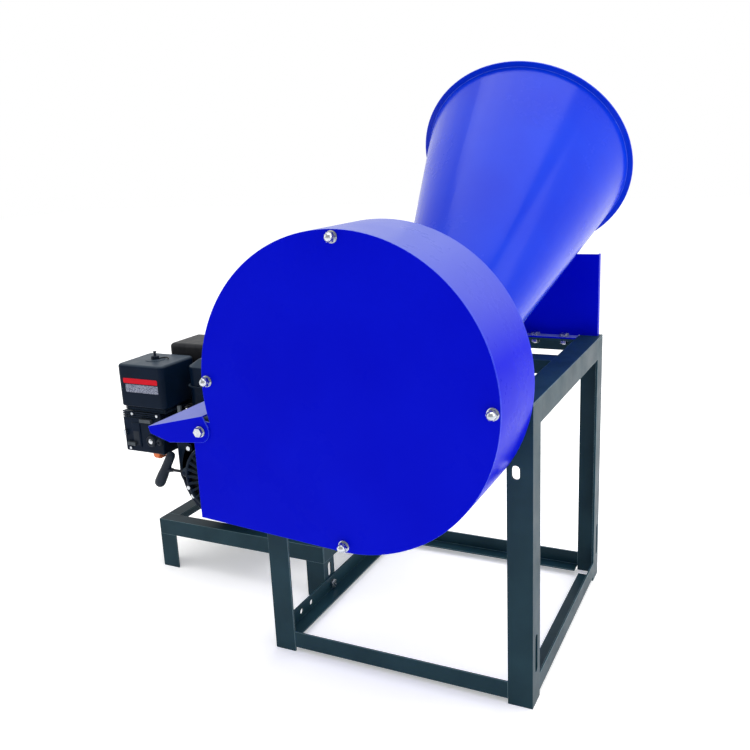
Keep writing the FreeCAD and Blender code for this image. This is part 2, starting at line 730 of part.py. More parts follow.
def drum():
    """Back wall, rim band with its flat floor, removable front cover and the cover's studs."""
    wall = prism("back_wall_plate", "XZ_Plane", DRUM_OUTLINE, "back_wall",
                 ("0", "-back_wall", "axis_height"))
    through = ("-back_wall - 1", "1")
    holes = [rod("shaft_hole", "Y", "shaft_hole_radius", through, ("0", "axis_height"))]
    holes += [rod(f"housing_hole{index}", "Y", "stud_radius + hole_clearance", through,
                  (place, HOUSING_BOLT_HEIGHT))
              for index, place in enumerate(HOUSING_BOLTS)]
    feed_bore = feed_shell("feed_hole_cone", "feed_radius - feed_wall", "mouth_radius - feed_wall")
    piece("drum_back_wall", cut("drum_back_wall", wall, feed_bore, *holes))

    band = []
    for radius in ("drum_radius", "inner_radius"):
        band.append((f"{radius} * cos(floor_angle)", f"{radius} * sin(floor_angle)", radius, 1, True))
        band.append((f"{radius} * cos(outlet_angle)", f"{radius} * sin(outlet_angle)"))
    floor_end = "-pivot_left - ear_radius"
    lip = [(floor_end, f"({radius} + (pivot_left + ear_radius) * cos(floor_angle)) / sin(floor_angle)")
           for radius in ("inner_radius", "drum_radius")]
    corners = [band[0], band[1], (band[3][0], band[3][1], "inner_radius", -1, True), band[2][:2], *lip]
    rim = prism("rim_band", "XZ_Plane", corners, "-cover_back - back_wall",
                ("0", "cover_back", "axis_height"))
    piece("drum_rim", rim)

    plate = prism("cover_plate", "XZ_Plane", DRUM_OUTLINE, "cover_wall",
                  ("0", "-drum_depth", "axis_height"))
    cover_span = ("-drum_depth - 1", "cover_back + 1")
    cover_holes = [rod(f"stud_hole{index}", "Y", "stud_radius + hole_clearance", cover_span, spot)
                   for index, spot in enumerate(STUDS)]
    cover_holes.append(rod("ear_hole", "Y", "stud_radius + hole_clearance", cover_span,
                           ("-pivot_left", "pivot_height")))
    piece("front_cover", cut("front_cover", plate, *cover_holes))

    fasteners = []
    face = "-drum_depth"
    for index, spot in enumerate(STUDS):
        stud = rod(f"stud{index}", "Y", "stud_radius", (f"{face} - stud_overhang", "-back_wall"), spot)
        washer = rod(f"washer{index}", "Y", "washer_radius", (f"{face} - washer_wall", face), spot)
        nut = hexagon(f"nut{index}", "Y", "nut_flats",
                      (f"{face} - washer_wall - nut_height", f"{face} - washer_wall"),
                      spot)
        dome = ball(f"dome{index}", "nut_flats / 2", spot[0], f"{face} - washer_wall - nut_height", spot[1])
        fasteners.append(fuse(f"cover_fastener{index}", stud, washer, nut, dome))
    piece("cover_fasteners", group("cover_fasteners", fasteners))

    floor = "screen_radius"
    ring = rod("screen_outside", "Y", f"{floor} + screen_wall",
               ("cover_back + screen_gap", "-back_wall - screen_gap"),
               ("0", "axis_height"))
    bore = rod("screen_inside", "Y", floor, ("cover_back", "-back_wall"), ("0", "axis_height"))
    upper = box("screen_upper", ("-drum_radius", "drum_radius"), ("cover_back", "-back_wall"),
                ("axis_height", "axis_height + drum_radius"))
    plain = cut("screen_plain", ring, bore, upper)
    holes = []
    for row in range(-1, 2):
        for step in range(1, SCREEN_HOLES):
            drill = doc.addObject("Part::Cylinder", f"drill{row}_{step}")
            bind(drill, Radius="screen_hole", Height="2 * screen_wall + 10")
            angle = -180 * step / SCREEN_HOLES
            drill.Placement = Placement(Vector(), Rotation(Vector(0, 1, 0), 90 - angle))
            put(drill, f"(screen_radius - 5) * cos({angle})", f"(cover_back - back_wall) / 2 + {row} * 44",
                f"axis_height + (screen_radius - 5) * sin({angle})")
            holes.append(drill)
    piece("screen", cut("screen", plain, *holes))


def discharge_flap():
    """Bent plate with two cheeks that turns on a pin in front of the outlet."""
    cheek = [
        ("-flap_reach", "-flap_tip_drop"),
        ("-flap_reach + 3", "-flap_tip_drop - 11"),
        ("-61", "-24"),
        ("0", "-cheek_radius", "cheek_radius", 1, False),
        ("flap_heel + 7", "10"),
        ("flap_heel", "flap_heel_rise"),
    ]
    top = [
        ("-flap_reach", "-flap_tip_drop"),
        ("-flap_reach", "-flap_tip_drop - flap_wall"),
        ("flap_heel", "flap_heel_rise - flap_wall"),
        ("flap_heel", "flap_heel_rise"),
    ]
    front = "-drum_depth - cheek_gap - flap_wall"
    back = "-back_wall - cheek_gap"
    front_cheek = prism("front_cheek", "XZ_Plane", cheek, "flap_wall",
                        ("-pivot_left", front, "pivot_height"))
    rear_cheek = prism("rear_cheek", "XZ_Plane", cheek, "flap_wall",
                       ("-pivot_left", f"{back} - flap_wall", "pivot_height"))
    plate = prism("flap_top", "XZ_Plane", top, f"({back}) - ({front})",
                  ("-pivot_left", front, "pivot_height"))
    bent = fuse("flap_bent", front_cheek, rear_cheek, plate)
    pin_hole = rod("flap_hole", "Y", "stud_radius + pivot_fit", (f"{front} - 1", f"{back} + 1"),
                   ("-pivot_left", "pivot_height"))
    piece("discharge_flap", cut("discharge_flap", bent, pin_hole))

    spot = ("-pivot_left", "pivot_height")
    front_pin = rod("front_pin", "Y", "stud_radius",
                    (f"{front} - cheek_gap - bolt_head", "cover_back + nut_height"), spot)
    front_washer = rod("front_pin_washer", "Y", "washer_radius", (f"{front} - cheek_gap - washer_wall",
                                                                  f"{front} - cheek_gap"), spot)
    front_head = hexagon("front_pin_head", "Y", "nut_flats",
                         (f"{front} - cheek_gap - washer_wall - nut_height",
                                                              f"{front} - cheek_gap - washer_wall"), spot)
    front_nut = hexagon("front_pin_nut", "Y", "nut_flats", ("cover_back", "cover_back + nut_height"), spot)
    rear_pin = rod("rear_pin", "Y", "stud_radius",
                   (f"{back} - flap_wall - cheek_gap - nut_height", "-back_wall"), spot)
    rear_nut = hexagon("rear_pin_nut", "Y", "nut_flats", (f"{back} - flap_wall - cheek_gap - nut_height",
                                                          f"{back} - flap_wall - cheek_gap"), spot)
    pins = [fuse("front_pivot", front_pin, front_washer, front_head, front_nut),
            fuse("rear_pivot", rear_pin, rear_nut)]
    piece("flap_pivots", group("flap_pivots", pins))


def feed_shell(name, base_radius, end_radius):
    """Solid cone along the feed's tilted axis, started in front of the wall that it passes."""
    cone = doc.addObject("Part::Cone", name)
    bind(cone, Radius1=f"({base_radius}) - feed_radius * feed_slope", Radius2=end_radius,
         Height="feed_length + feed_radius")
    cone.Placement = Placement(Vector(), Rotation(Vector(1, 0, 0), value("feed_tilt") - 90))
    return put(cone, "feed_right", "-feed_radius * cos(feed_tilt)",
               "axis_height + feed_rise - feed_radius * sin(feed_tilt)")


def feed_cone():
    """Rolled sheet cone behind the back wall, with a lip round its mouth."""
    outside = feed_shell("cone_outside", "feed_radius", "mouth_radius")
    inside = feed_shell("cone_inside", "feed_radius - feed_wall", "mouth_radius - feed_wall")
    lip = doc.addObject("Part::Cylinder", "mouth_lip_disc")
    bind(lip, Radius="mouth_radius + mouth_lip", Height="feed_wall")
    lip.Placement = Placement(Vector(), Rotation(Vector(1, 0, 0), value("feed_tilt") - 90))
    put(lip, "feed_right", "(feed_length - feed_wall) * cos(feed_tilt)",
        "axis_height + feed_rise + (feed_length - feed_wall) * sin(feed_tilt)")
    solid = fuse("cone_and_lip", outside, lip)
    front = box("cone_front", ("-drum_radius", "2 * drum_radius"), ("-2 * feed_radius", "0"),
                ("0", "axis_height + 2 * drum_radius"))
    piece("feed_cone", cut("feed_cone", solid, inside, front))


def guard_plate():
    """Plate on the rear rail between the feed side and the belts, with a foot and a side flange."""
    right = "frame_right - plate_edge_inset"
    upright = ("plate_front", "plate_front + plate_wall")
    low = box("plate_low", ("plate_foot_left", right), upright, ("frame_height", "plate_top"))
    high = box("plate_high", ("-plate_overhang", right), upright, ("plate_step", "plate_top"))
    heel = box("plate_heel", ("plate_foot_left", "inner_right - 2"), upright,
               ("rail_top", "frame_height + 1"))
    foot = box("plate_foot_strip", ("plate_foot_left", "inner_right - 2"),
               ("plate_front - plate_foot", "plate_front"), ("rail_top", "rail_top + plate_wall"))
    edge = box("plate_side", (f"{right} - plate_wall", right), ("plate_front", "frame_depth - 4"),
               ("frame_height", "plate_top"))
    bent = fuse("plate_bent", low, high, heel, foot, edge)
    holes = [rod(f"plate_hole{index}", "Z", "bolt_radius + hole_clearance",
                 ("rail_top - 1", "rail_top + plate_wall + 1"),
                 (place, PLATE_BOLT_BACK)) for index, place in enumerate(PLATE_BOLTS)]
    piece("guard_plate", cut("guard_plate", bent, *holes))


def rotor():
    """Overhung shaft with three discs, hammer pins with spacers, and the swinging hammers."""
    centre = ("0", "axis_height")
    front_end = "-first_disc - 2 * disc_pitch - disc_wall / 2 - 12"
    shaft = rod("shaft_bar", "Y", "shaft_radius", (front_end, "pulley_back + 4"), centre)
    keeper = hexagon("shaft_nut", "Y", "shaft_radius * 2.6",
                     (f"{front_end} + 1", "-first_disc - 2 * disc_pitch - disc_wall / 2 - 0.5"), centre)
    collar = rod("shaft_collar", "Y", "hub_radius", ("-first_disc + disc_wall / 2 + 0.5", "-back_wall - 6"),
                 centre)
    piece("rotor_shaft", fuse("rotor_shaft", shaft, keeper, collar))

    discs = []
    for number in range(3):
        middle = f"-first_disc - {number} * disc_pitch"
        span = (f"{middle} - disc_wall / 2", f"{middle} + disc_wall / 2")
        plain = rod(f"disc_blank{number}", "Y", "disc_radius", span, centre)
        tools = [rod(f"disc_bore{number}", "Y", "shaft_radius + assembly_fit",
                     (f"{span[0]} - 1", f"{span[1]} + 1"),
                     centre)]
        tools += [rod(f"disc_hole{number}_{index}", "Y", "pin_radius + assembly_fit",
                      (f"{span[0]} - 1", f"{span[1]} + 1"), spot) for index, spot in enumerate(PINS)]
        discs.append(cut(f"disc{number}", plain, *tools))
    for number in range(2):
        span = (f"-first_disc - {number + 1} * disc_pitch + disc_wall / 2",
                f"-first_disc - {number} * disc_pitch - disc_wall / 2")
        sleeve = rod(f"sleeve_blank{number}", "Y", "hub_radius", span, centre)
        hollow = rod(f"sleeve_bore{number}", "Y", "shaft_radius + assembly_fit",
                     (f"{span[0]} - 1", f"{span[1]} + 1"),
                     centre)
        discs.append(cut(f"sleeve{number}", sleeve, hollow))
    piece("rotor_discs", group("rotor_discs", discs))

    pins = []
    tip = "-first_disc - 2 * disc_pitch - disc_wall / 2"
    tail = "-first_disc + disc_wall / 2"
    for index, spot in enumerate(PINS):
        stem = rod(f"pin_stem{index}", "Y", "pin_radius", (f"{tip} - pin_head", f"{tail} + pin_head"), spot)
        heads = [rod(f"pin_head_front{index}", "Y", "pin_head_radius", (f"{tip} - pin_head", tip), spot),
                 rod(f"pin_head_back{index}", "Y", "pin_head_radius", (tail, f"{tail} + pin_head"), spot)]
        pins.append(fuse(f"hammer_pin{index}", stem, *heads))
    for index, spot in enumerate(PINS):
        hammers = [hammer(f"hammer{index}_{number}", spot, middle)
                   for number, middle in enumerate(HAMMER_PLACES)]
        piece(f"hammers_{index + 1}", group(f"hammers_{index + 1}", hammers))
    spacers = []
    for index, spot in enumerate(PINS):
        for number in range(2):
            bay = (f"-first_disc - {number + 1} * disc_pitch + disc_wall / 2",
                   f"-first_disc - {number} * disc_pitch - disc_wall / 2")
            stops = [f"{bay[0]} + side_play"]
            for middle in HAMMER_PLACES[2 * number:2 * number + 2][::-1]:
                stops += [f"{middle} - hammer_wall / 2 - side_play",
                          f"{middle} + hammer_wall / 2 + side_play"]
            stops.append(f"{bay[1]} - side_play")
            for part in range(3):
                span = (stops[2 * part], stops[2 * part + 1])
                ring = rod(f"spacer{index}_{number}_{part}", "Y", "spacer_radius", span, spot)
                bore = rod(f"spacer_bore{index}_{number}_{part}", "Y", "pin_radius + assembly_fit",
                           (f"{span[0]} - 1", f"{span[1]} + 1"), spot)
                spacers.append(cut(f"spacer_tube{index}_{number}_{part}", ring, bore))
    piece("hammer_pins", group("hammer_pins", pins + spacers))


def hammer(name, spot, middle):
    """Flat hammer that hangs from its pin hole, rounded over the pin."""
    span = (f"{middle} - hammer_wall / 2", f"{middle} + hammer_wall / 2")
    x, z = spot
    blade = box(name + "_blade", (f"{x} - hammer_width / 2", f"{x} + hammer_width / 2"), span,
                (f"{z} - hammer_reach", z))
    shoulder = rod(name + "_shoulder", "Y", "hammer_width / 2", span, spot)
    bore = rod(name + "_bore", "Y", "pin_radius + pivot_fit", (f"{span[0]} - 1", f"{span[1]} + 1"), spot)
    return cut(name, fuse(name + "_blank", blade, shoulder), bore)


def bearing_block(name, middle):
    """Two-bolt pillow block with the shaft's running bore."""
    half = "block_width / 2"
    span = (f"{middle} - {half}", f"{middle} + {half}")
    foot = box(name + "_foot", ("-block_length / 2", "block_length / 2"), span,
               ("rail_top", "rail_top + block_foot"))
    hump = rod(name + "_hump", "Y", "block_radius", span, ("0", "axis_height"))
    body = fuse(name + "_casting", foot, hump)
    bore = rod(name + "_bore", "Y", "shaft_radius + running_fit", (f"{span[0]} - 1", f"{span[1]} + 1"),
               ("0", "axis_height"))
    holes = [rod(f"{name}_hole{index}", "Z", "bolt_radius + hole_clearance",
                 ("rail_top - 1", "rail_top + block_foot + 1"),
                 (place, middle)) for index, place in enumerate(BLOCK_BOLTS)]
    return cut(name, body, bore, *holes)


def bearings():
    """Front block on the bearing rail and rear block on the rear rail."""
    piece("front_bearing", bearing_block("front_bearing", "front_block"))
    piece("rear_bearing", bearing_block("rear_bearing", "rear_block"))


def pulley(name, radius, bore_radius, at):
    """Double-groove pulley turned from solid."""
    half = "pulley_width / 2"
    corners = [(bore_radius, "0"), (radius, "0")]
    for middle in GROOVES:
        corners += [(radius, f"{middle} - belt_width / 2 - 3"),
                    (f"({radius}) - groove_depth", f"{middle} - belt_width / 2 - 0.5"),
                    (f"({radius}) - groove_depth", f"{middle} + belt_width / 2 + 0.5"),
                    (radius, f"{middle} + belt_width / 2 + 3")]
    corners += [(radius, "pulley_width"), (bore_radius, "pulley_width")]
    return turned(name, corners, at)


def belt_loop(gap):
    """Face inside a tight loop that stays a given distance outside both pulleys' seats."""
    mill = value("mill_pulley_radius - groove_depth") + gap
    engine = value("engine_pulley_radius - groove_depth") + gap
    return loop_face(mill, engine)


def loop_face(mill_reach, engine_reach):
    """XZ face bounded by two arcs about the pulley centres and their common tangents."""
    mill = Vector(0, 0, value("axis_height"))
    engine = Vector(value("-crank_left"), 0, value("crank_height"))
    run = engine - mill
    lean = math.atan2(run.z, run.x)
    wrap = math.acos((mill_reach - engine_reach) / run.Length)
    edges = []
    ends = []
    for centre, reach, outward in ((mill, mill_reach, lean + math.pi), (engine, engine_reach, lean)):
        ends.append([centre + Vector(math.cos(angle), 0, math.sin(angle)) * reach
                     for angle in (lean + wrap, outward, lean - wrap)])
    edges.append(Part.Arc(*ends[0]).toShape())
    edges.append(Part.LineSegment(ends[0][2], ends[1][2]).toShape())
    edges.append(Part.Arc(*ends[1][::-1]).toShape())
    edges.append(Part.LineSegment(ends[1][0], ends[0][0]).toShape())
    return Part.Face(Part.Wire(edges))


def feature(name, shape):
    """Document object that holds a computed shape."""
    item = doc.addObject("Part::Feature", name)
    item.Shape = shape
    return item


def belt_drive():
    """Grooved pulleys, two belts and the pan-shaped guard on the frame's rear face."""
    mill = pulley("mill_pulley", "mill_pulley_radius", "shaft_radius + assembly_fit",
                  ("0", "pulley_front", "axis_height"))
    engine = pulley("engine_pulley", "engine_pulley_radius", "crank_radius + assembly_fit",
                    ("-crank_left", "pulley_front", "crank_height"))
    piece("mill_pulley", mill)
    piece("engine_pulley", engine)
    seat = value("belt_seat")
    thickness = value("belt_thickness")
    loop = belt_loop(seat + thickness).cut(belt_loop(seat))
    width = value("belt_width")
    front = value("pulley_front")
    belts = []
    for index, middle in enumerate(GROOVES):
        belt = loop.extrude(Vector(0, width, 0))
        belt.translate(Vector(0, front + value(middle) - width / 2, 0))
        belts.append(feature(f"belt{index}", belt))
    piece("drive_belts", group("drive_belts", belts))

    depth = value("guard_depth")
    wall = value("guard_wall")
    back = value("frame_depth")
    room = value("guard_room")
    mill_reach = value("mill_pulley_radius") + room
    engine_reach = value("engine_pulley_radius") + room
    tray = loop_face(mill_reach, engine_reach).extrude(Vector(0, depth, 0))
    hollow = loop_face(mill_reach - wall, engine_reach - wall).extrude(Vector(0, depth - wall, 0))
    tray = tray.cut(hollow)
    inside = loop_face(mill_reach - wall / 2,
                       engine_reach - wall / 2).extrude(Vector(0, value("strap_wall"), 0))
    for low, high in STRAPS:
        low = value(low)
        band = Part.makeBox(value(high) - low, value("strap_wall"), 700, Vector(low, 0, 0))
        tray = tray.fuse(band.common(inside))
    shaft_room = Part.makeCylinder(value("mill_pulley_radius") + 4, value("strap_wall") + 2,
                                   Vector(0, -1, value("axis_height")), Vector(0, 1, 0))
    tray = tray.cut(shaft_room)
    tray.translate(Vector(0, back, 0))
    pan = feature("guard_pan", tray.removeSplitter())
    hole_span = ("frame_depth - 1", "frame_depth + strap_wall + 1")
    holes = [rod("guard_pan_leg_hole", "Y", "bolt_radius + hole_clearance", hole_span,
                 GUARD_LEG_BOLT),
             rod("guard_pan_rail_hole", "Y", "bolt_radius + hole_clearance", hole_span, GUARD_RAIL_BOLT)]
    piece("belt_guard", cut("belt_guard", pan, *holes))


def machine_bolts():
    """Bolts that hold the drum, bearings, plate, guard, shelf and engine, all in one node."""
    bolts = []
    for index, place in enumerate(HOUSING_BOLTS):
        bolts.append(bolt(f"housing_bolt{index}", "Y", "stud_radius", "nut_flats",
                          ("-back_wall", "leg_wall"),
                          (place, HOUSING_BOLT_HEIGHT)))
    for row, middle in enumerate(("front_block", "rear_block")):
        for index, place in enumerate(BLOCK_BOLTS):
            bolts.append(bolt(f"block_bolt{row}_{index}", "Z", "bolt_radius", "2 * bolt_head_radius",
                              ("rail_top - leg_wall", "rail_top + block_foot"), (place, middle)))
    for index, place in enumerate(PLATE_BOLTS):
        bolts.append(bolt(f"plate_bolt{index}", "Z", "bolt_radius", "2 * bolt_head_radius",
                          ("rail_top - leg_wall", "rail_top + plate_wall"), (place, PLATE_BOLT_BACK)))
    bolts.append(bolt("guard_leg_bolt", "Y", "stud_radius", "nut_flats",
                      ("frame_depth - leg_wall", "frame_depth + strap_wall"), GUARD_LEG_BOLT, -1))
    bolts.append(bolt("guard_rail_bolt", "Y", "stud_radius", "nut_flats",
                      ("frame_depth - leg_wall", "frame_depth + strap_wall"), GUARD_RAIL_BOLT, -1))
    bolts.append(bolt("shelf_rail_bolt", "X", "bolt_radius", "2 * bolt_head_radius",
                      ("frame_left - shelf_wall", "frame_left + leg_wall"), SHELF_RAIL_BOLT))
    bolts.append(bolt("shelf_leg_bolt", "X", "bolt_radius", "2 * bolt_head_radius",
                      ("frame_left - shelf_wall", "frame_left + bottom_wall"),
                      SHELF_LEG_BOLT))
    for row, middle in enumerate(FOOT_ROWS):
        for side, place in enumerate(FOOT_COLUMNS):
            bolts.append(bolt(f"engine_bolt{row}_{side}", "Z", "stud_radius", "nut_flats",
                              ("shelf_height", "bar_top + foot_wall"), (place, middle)))
    piece("machine_bolts", group("machine_bolts", bolts))


def along_cylinder(start, end, half, width_half):
    """Tilted block on the cylinder's axis, between two distances from the crankshaft."""
    block = Part.makeBox(end - start, 2 * width_half, 2 * half, Vector(start, -width_half, -half))
    block.rotate(Vector(), Vector(0, 1, 0), 180 + value("cylinder_tilt"))
    block.translate(Vector(value("-crank_left"), value("foot_middle"), value("crank_height")))
    return block


def engine_block():
    """Crankcase with feet and shaft boss, finned cylinder, crankshaft and oil cap."""
    left = "-crank_left - case_half_width"
    right = "-crank_left + case_half_width"
    case = box("case_block", (left, right), ("fan_back", "case_back"),
               ("bar_top + foot_wall", "crank_height + case_top"))
    soft = rounded("case_soft", case, "tank_radius / 2", "XY")
    feet = box("case_feet", (f"{FOOT_COLUMNS[0]} - foot_margin", f"{FOOT_COLUMNS[1]} + foot_margin"),
               (f"{FOOT_ROWS[0]} - foot_margin",
                f"{FOOT_ROWS[1]} + foot_margin"), ("bar_top", "bar_top + foot_wall + 3"))
    boss = rod("case_boss", "Y", "boss_radius", ("case_back - 2", "case_back + boss_depth"),
               ("-crank_left", "crank_height"))
    deck = box("tank_rest", ("-crank_left - 60", "-crank_left + 60"), ("fan_back", "case_back - 20"),
               ("crank_height + case_top - 1", "tank_floor"))
    body = fuse("case_body", soft, feet, boss, deck)
    holes = [rod(f"foot_hole{row}_{side}", "Z", "stud_radius + hole_clearance",
                 ("bar_top - 1", "bar_top + foot_wall + 4"),
                 (place, middle))
             for row, middle in enumerate(FOOT_ROWS) for side, place in enumerate(FOOT_COLUMNS)]
    bore = rod("crank_bore", "Y", "crank_radius + running_fit",
               ("case_back - 30", "case_back + boss_depth + 1"),
               ("-crank_left", "crank_height"))
    pads = [rod(f"foot_pad{row}_{side}", "Z", "bolt_head_radius",
                ("bar_top + foot_wall", "bar_top + foot_wall + 4"),
                (place, middle))
            for row, middle in enumerate(FOOT_ROWS) for side, place in enumerate(FOOT_COLUMNS)]
    barrel_room = feature("barrel_room", along_cylinder(value("cylinder_start"), value("head_end"),
                                                        value("cylinder_size") / 2 + 0.3,
                                                        value("cylinder_size") / 2 + 0.3))
    piece("crankcase", cut("crankcase", body, bore, barrel_room, *holes, *pads))
    piece("crankshaft", rod("crankshaft", "Y", "crank_radius", ("case_back - 29", "pulley_back + 4"),
                            ("-crank_left", "crank_height")))

    half = value("cylinder_size") / 2
    core = value("cylinder_size") / 2 - value("fin_height")
    solid = along_cylinder(value("cylinder_start"), value("cylinder_end"), core, core)
    for distance in range(int(value("cylinder_start")) + 32, int(value("cylinder_end")) - 2, 8):
        solid = solid.fuse(along_cylinder(distance, distance + value("fin_wall"), half, half))
    solid = solid.fuse(along_cylinder(value("cylinder_end") - 8, value("head_end"), half, half))
    piece("cylinder", feature("cylinder", solid.removeSplitter()))
    plug = Part.makeCylinder(9, 40, Vector(), Vector(1, 0, 0))
    plug.rotate(Vector(), Vector(0, 1, 0), 180 + value("cylinder_tilt"))
    tilt = math.radians(value("cylinder_tilt"))
    reach = value("head_end")
    plug.translate(Vector(value("-crank_left") - reach * math.cos(tilt), value("foot_middle"),
                          value("crank_height") + reach * math.sin(tilt)))
    piece("spark_plug_cap", feature("spark_plug_cap", plug))
    piece("oil_cap", hexagon("oil_cap", "Y", "24", ("case_back + 0.3", "case_back + 14"),
                             ("-crank_left + case_half_width - 22", "bar_top + foot_wall + 22")))


def engine_front():
    """Fan housing, recoil starter with handle and rope, and the stop switch."""
    spot = ("-crank_left", "crank_height")
    span = ("fan_front", "fan_back")
    scroll = rod("fan_scroll", "Y", "fan_radius", span, spot)
    shroud = box("fan_shroud", ("-crank_left - fan_radius", "-crank_left + fan_right"), span,
                 ("crank_height", "crank_height + fan_top"))
    piece("fan_housing", fuse("fan_housing", scroll,
                              rounded("fan_shroud_soft", shroud, "tank_radius / 2", "Y")))

    disc = rod("recoil_disc", "Y", "recoil_radius", ("fan_front - recoil_depth", "fan_front"), spot)
    doc.recompute()
    soft = doc.addObject("Part::Fillet", "recoil_soft")
    soft.Base = disc
    front = value("fan_front - recoil_depth")
    soft.Edges = [(number, value("recoil_depth / 4"), value("recoil_depth / 4"))
                  for number, edge in enumerate(disc.Shape.Edges, start=1)
                  if edge.BoundBox.YLength < 1 and abs(edge.BoundBox.YMin - front) < 0.1]
    slots = []
    for step in range(RECOIL_SLOTS):
        angle = 360 * step / RECOIL_SLOTS
        slit = doc.addObject("Part::Box", f"recoil_slit{step}")
        bind(slit, Length="recoil_radius * 0.4", Width="recoil_depth / 2", Height="5")
        slit.Placement = Placement(Vector(), Rotation(Vector(0, 1, 0), -angle))
        put(slit, f"-crank_left + recoil_radius * 0.45 * cos({angle})", "fan_front - recoil_depth - 1",
            f"crank_height + recoil_radius * 0.45 * sin({angle})")
        slots.append(slit)
    eye = rod("rope_eye", "X", "handle_radius",
              ("-crank_left - recoil_radius - 8", "-crank_left - recoil_radius + 12"),
              (ROPE_PLACE, "handle_height"))
    guide = rod("rope_bore", "X", "rope_radius + 1", ("-crank_left - recoil_radius - 9", ROPE_END),
                (ROPE_PLACE, "handle_height"))
    piece("recoil_cover", cut("recoil_cover", fuse("recoil_shell", soft, eye), guide, *slots))

    grip = doc.addObject("Part::Cylinder", "handle_grip")
    bind(grip, Radius="handle_radius", Height="handle_length")
    grip.Placement = Placement(Vector(), Rotation(Vector(0, 1, 0), value("handle_tilt")))
    put(grip, "-crank_left - handle_left - handle_length / 2 * sin(handle_tilt)", ROPE_PLACE,
        "handle_height - handle_length / 2 * cos(handle_tilt)")
    doc.recompute()
    soft_grip = doc.addObject("Part::Fillet", "handle_soft")
    soft_grip.Base = grip
    soft_grip.Edges = [(number, value("handle_radius") * 0.4, value("handle_radius") * 0.4)
                       for number, edge in enumerate(grip.Shape.Edges, start=1) if edge.Closed]
    knot = rod("rope_seat", "X", "rope_radius",
               ("-crank_left - handle_left - 2", "-crank_left - handle_left + 40"),
               (ROPE_PLACE, "handle_height"))
    piece("recoil_handle", cut("recoil_handle", soft_grip, knot))
    piece("recoil_rope", rod("recoil_rope", "X", "rope_radius",
                             ("-crank_left - handle_left - 2", f"{ROPE_END} - 0.5"), (ROPE_PLACE,
                                                                                      "handle_height")))
    piece("stop_switch", rod("stop_switch", "Y", "9", ("fan_front - 8", "fan_front - 0.3"),
                             ("-crank_left + fan_right - 14", "crank_height + fan_top - 16")))


def engine_top():
    """Tank, air cleaner, carburettor with its levers, throttle lever and muffler."""
    left = "tank_left"
    tank = box("tank_block", (left, "tank_left + tank_width"), ("tank_front", "tank_front + tank_depth"),
               ("tank_floor", "tank_floor + tank_height"))
    piece("fuel_tank", rounded("fuel_tank", tank, "tank_radius", "XYZ"))
    cap_place = ("tank_left + tank_width / 2", "tank_front + tank_depth / 2")
    top = "tank_floor + tank_height"
    piece("fuel_cap", rod("fuel_cap", "Z", "cap_radius", (f"{top} + 0.3", f"{top} + cap_height"),
                          cap_place))

    cleaner_left = "-crank_left - cleaner_left"
    floor = "cleaner_floor"
    cleaner = box("cleaner_block", (cleaner_left, "cleaner_right"),
                  ("cleaner_front", "cleaner_front + cleaner_depth"),
                  (floor, f"{floor} + cleaner_height"))
    piece("air_cleaner", rounded("air_cleaner", cleaner, "cleaner_radius", "XYZ"))
    piece("air_cleaner_knob", rod("air_cleaner_knob", "Z", "knob_radius",
                                  (f"{floor} + cleaner_height + 0.3",
                                   f"{floor} + cleaner_height + knob_height"),
                                  (f"{cleaner_left} + cleaner_width / 2",
                                   "cleaner_front + cleaner_depth / 2")))
    body_left = "-crank_left - carburettor_left"
    body_floor = f"{floor} - carburettor_height"
    body = box("carburettor_block", (body_left, f"{body_left} + carburettor_width"),
               ("fan_front", "fan_front + carburettor_depth"), (body_floor, floor))
    intake = box("intake", ("-crank_left - intake_left", "-crank_left - intake_right"),
                 ("fan_front + carburettor_depth - 1", "foot_middle - cylinder_size / 2"),
                 ("crank_height + intake_low", "crank_height + intake_high"))
    bowl = rod("float_bowl", "Z", "bowl_radius", (f"{body_floor} - bowl_depth", f"{body_floor} + 1"),
               (f"{body_left} + carburettor_width / 2", "fan_front + bowl_back"))
    piece("carburettor", fuse("carburettor", body, intake, bowl))
    lever_span = ("fan_front - lever_stand", "fan_front - lever_gap")
    piece("fuel_tap_lever", box("fuel_tap_lever", (f"{body_left} + 10", f"{body_left} + 10 + tap_length"),
                                lever_span,
                                (f"{body_floor} + tap_height", f"{body_floor} + tap_height + lever_wall")))
    piece("choke_lever", box("choke_lever", (f"{body_left} + 52", f"{body_left} + 52 + choke_length"),
                             lever_span,
                             (f"{body_floor} + choke_height", f"{body_floor} + choke_height + lever_wall")))
    hub = ("-crank_left - fan_radius + 16", "crank_height + fan_top - 24")
    plate = rod("throttle_hub", "Y", "throttle_radius", lever_span, hub)
    arm = box("throttle_arm", (f"{hub[0]} - lever_wall / 2", f"{hub[0]} + lever_wall / 2"),
              ("fan_front - 5", "fan_front - lever_gap"),
              (hub[1], f"{hub[1]} + throttle_arm"))
    piece("throttle_lever", fuse("throttle_lever", plate, arm))

    muffler_left = "-crank_left - muffler_left"
    muffler_floor = "crank_height + muffler_rise"
    muffler = box("muffler_block", (muffler_left, f"{muffler_left} + muffler_width"),
                  ("muffler_front", "muffler_front + muffler_depth"), (muffler_floor,
                                                                       f"{muffler_floor} + muffler_height"))
    pipe = box("exhaust_port", ("-crank_left - exhaust_left", "-crank_left - exhaust_right"),
               ("foot_middle - exhaust_half", "foot_middle + exhaust_half"),
               ("crank_height + exhaust_low", f"{muffler_floor} + 1"))
    head_room = feature("head_room", along_cylinder(value("cylinder_start"), value("head_end"),
                                                    value("cylinder_size") / 2, value("cylinder_size") / 2))
    whole = fuse("muffler_whole", rounded("muffler_soft", muffler, "cleaner_radius", "XYZ"), pipe)
    piece("muffler", cut("muffler", whole, head_room))


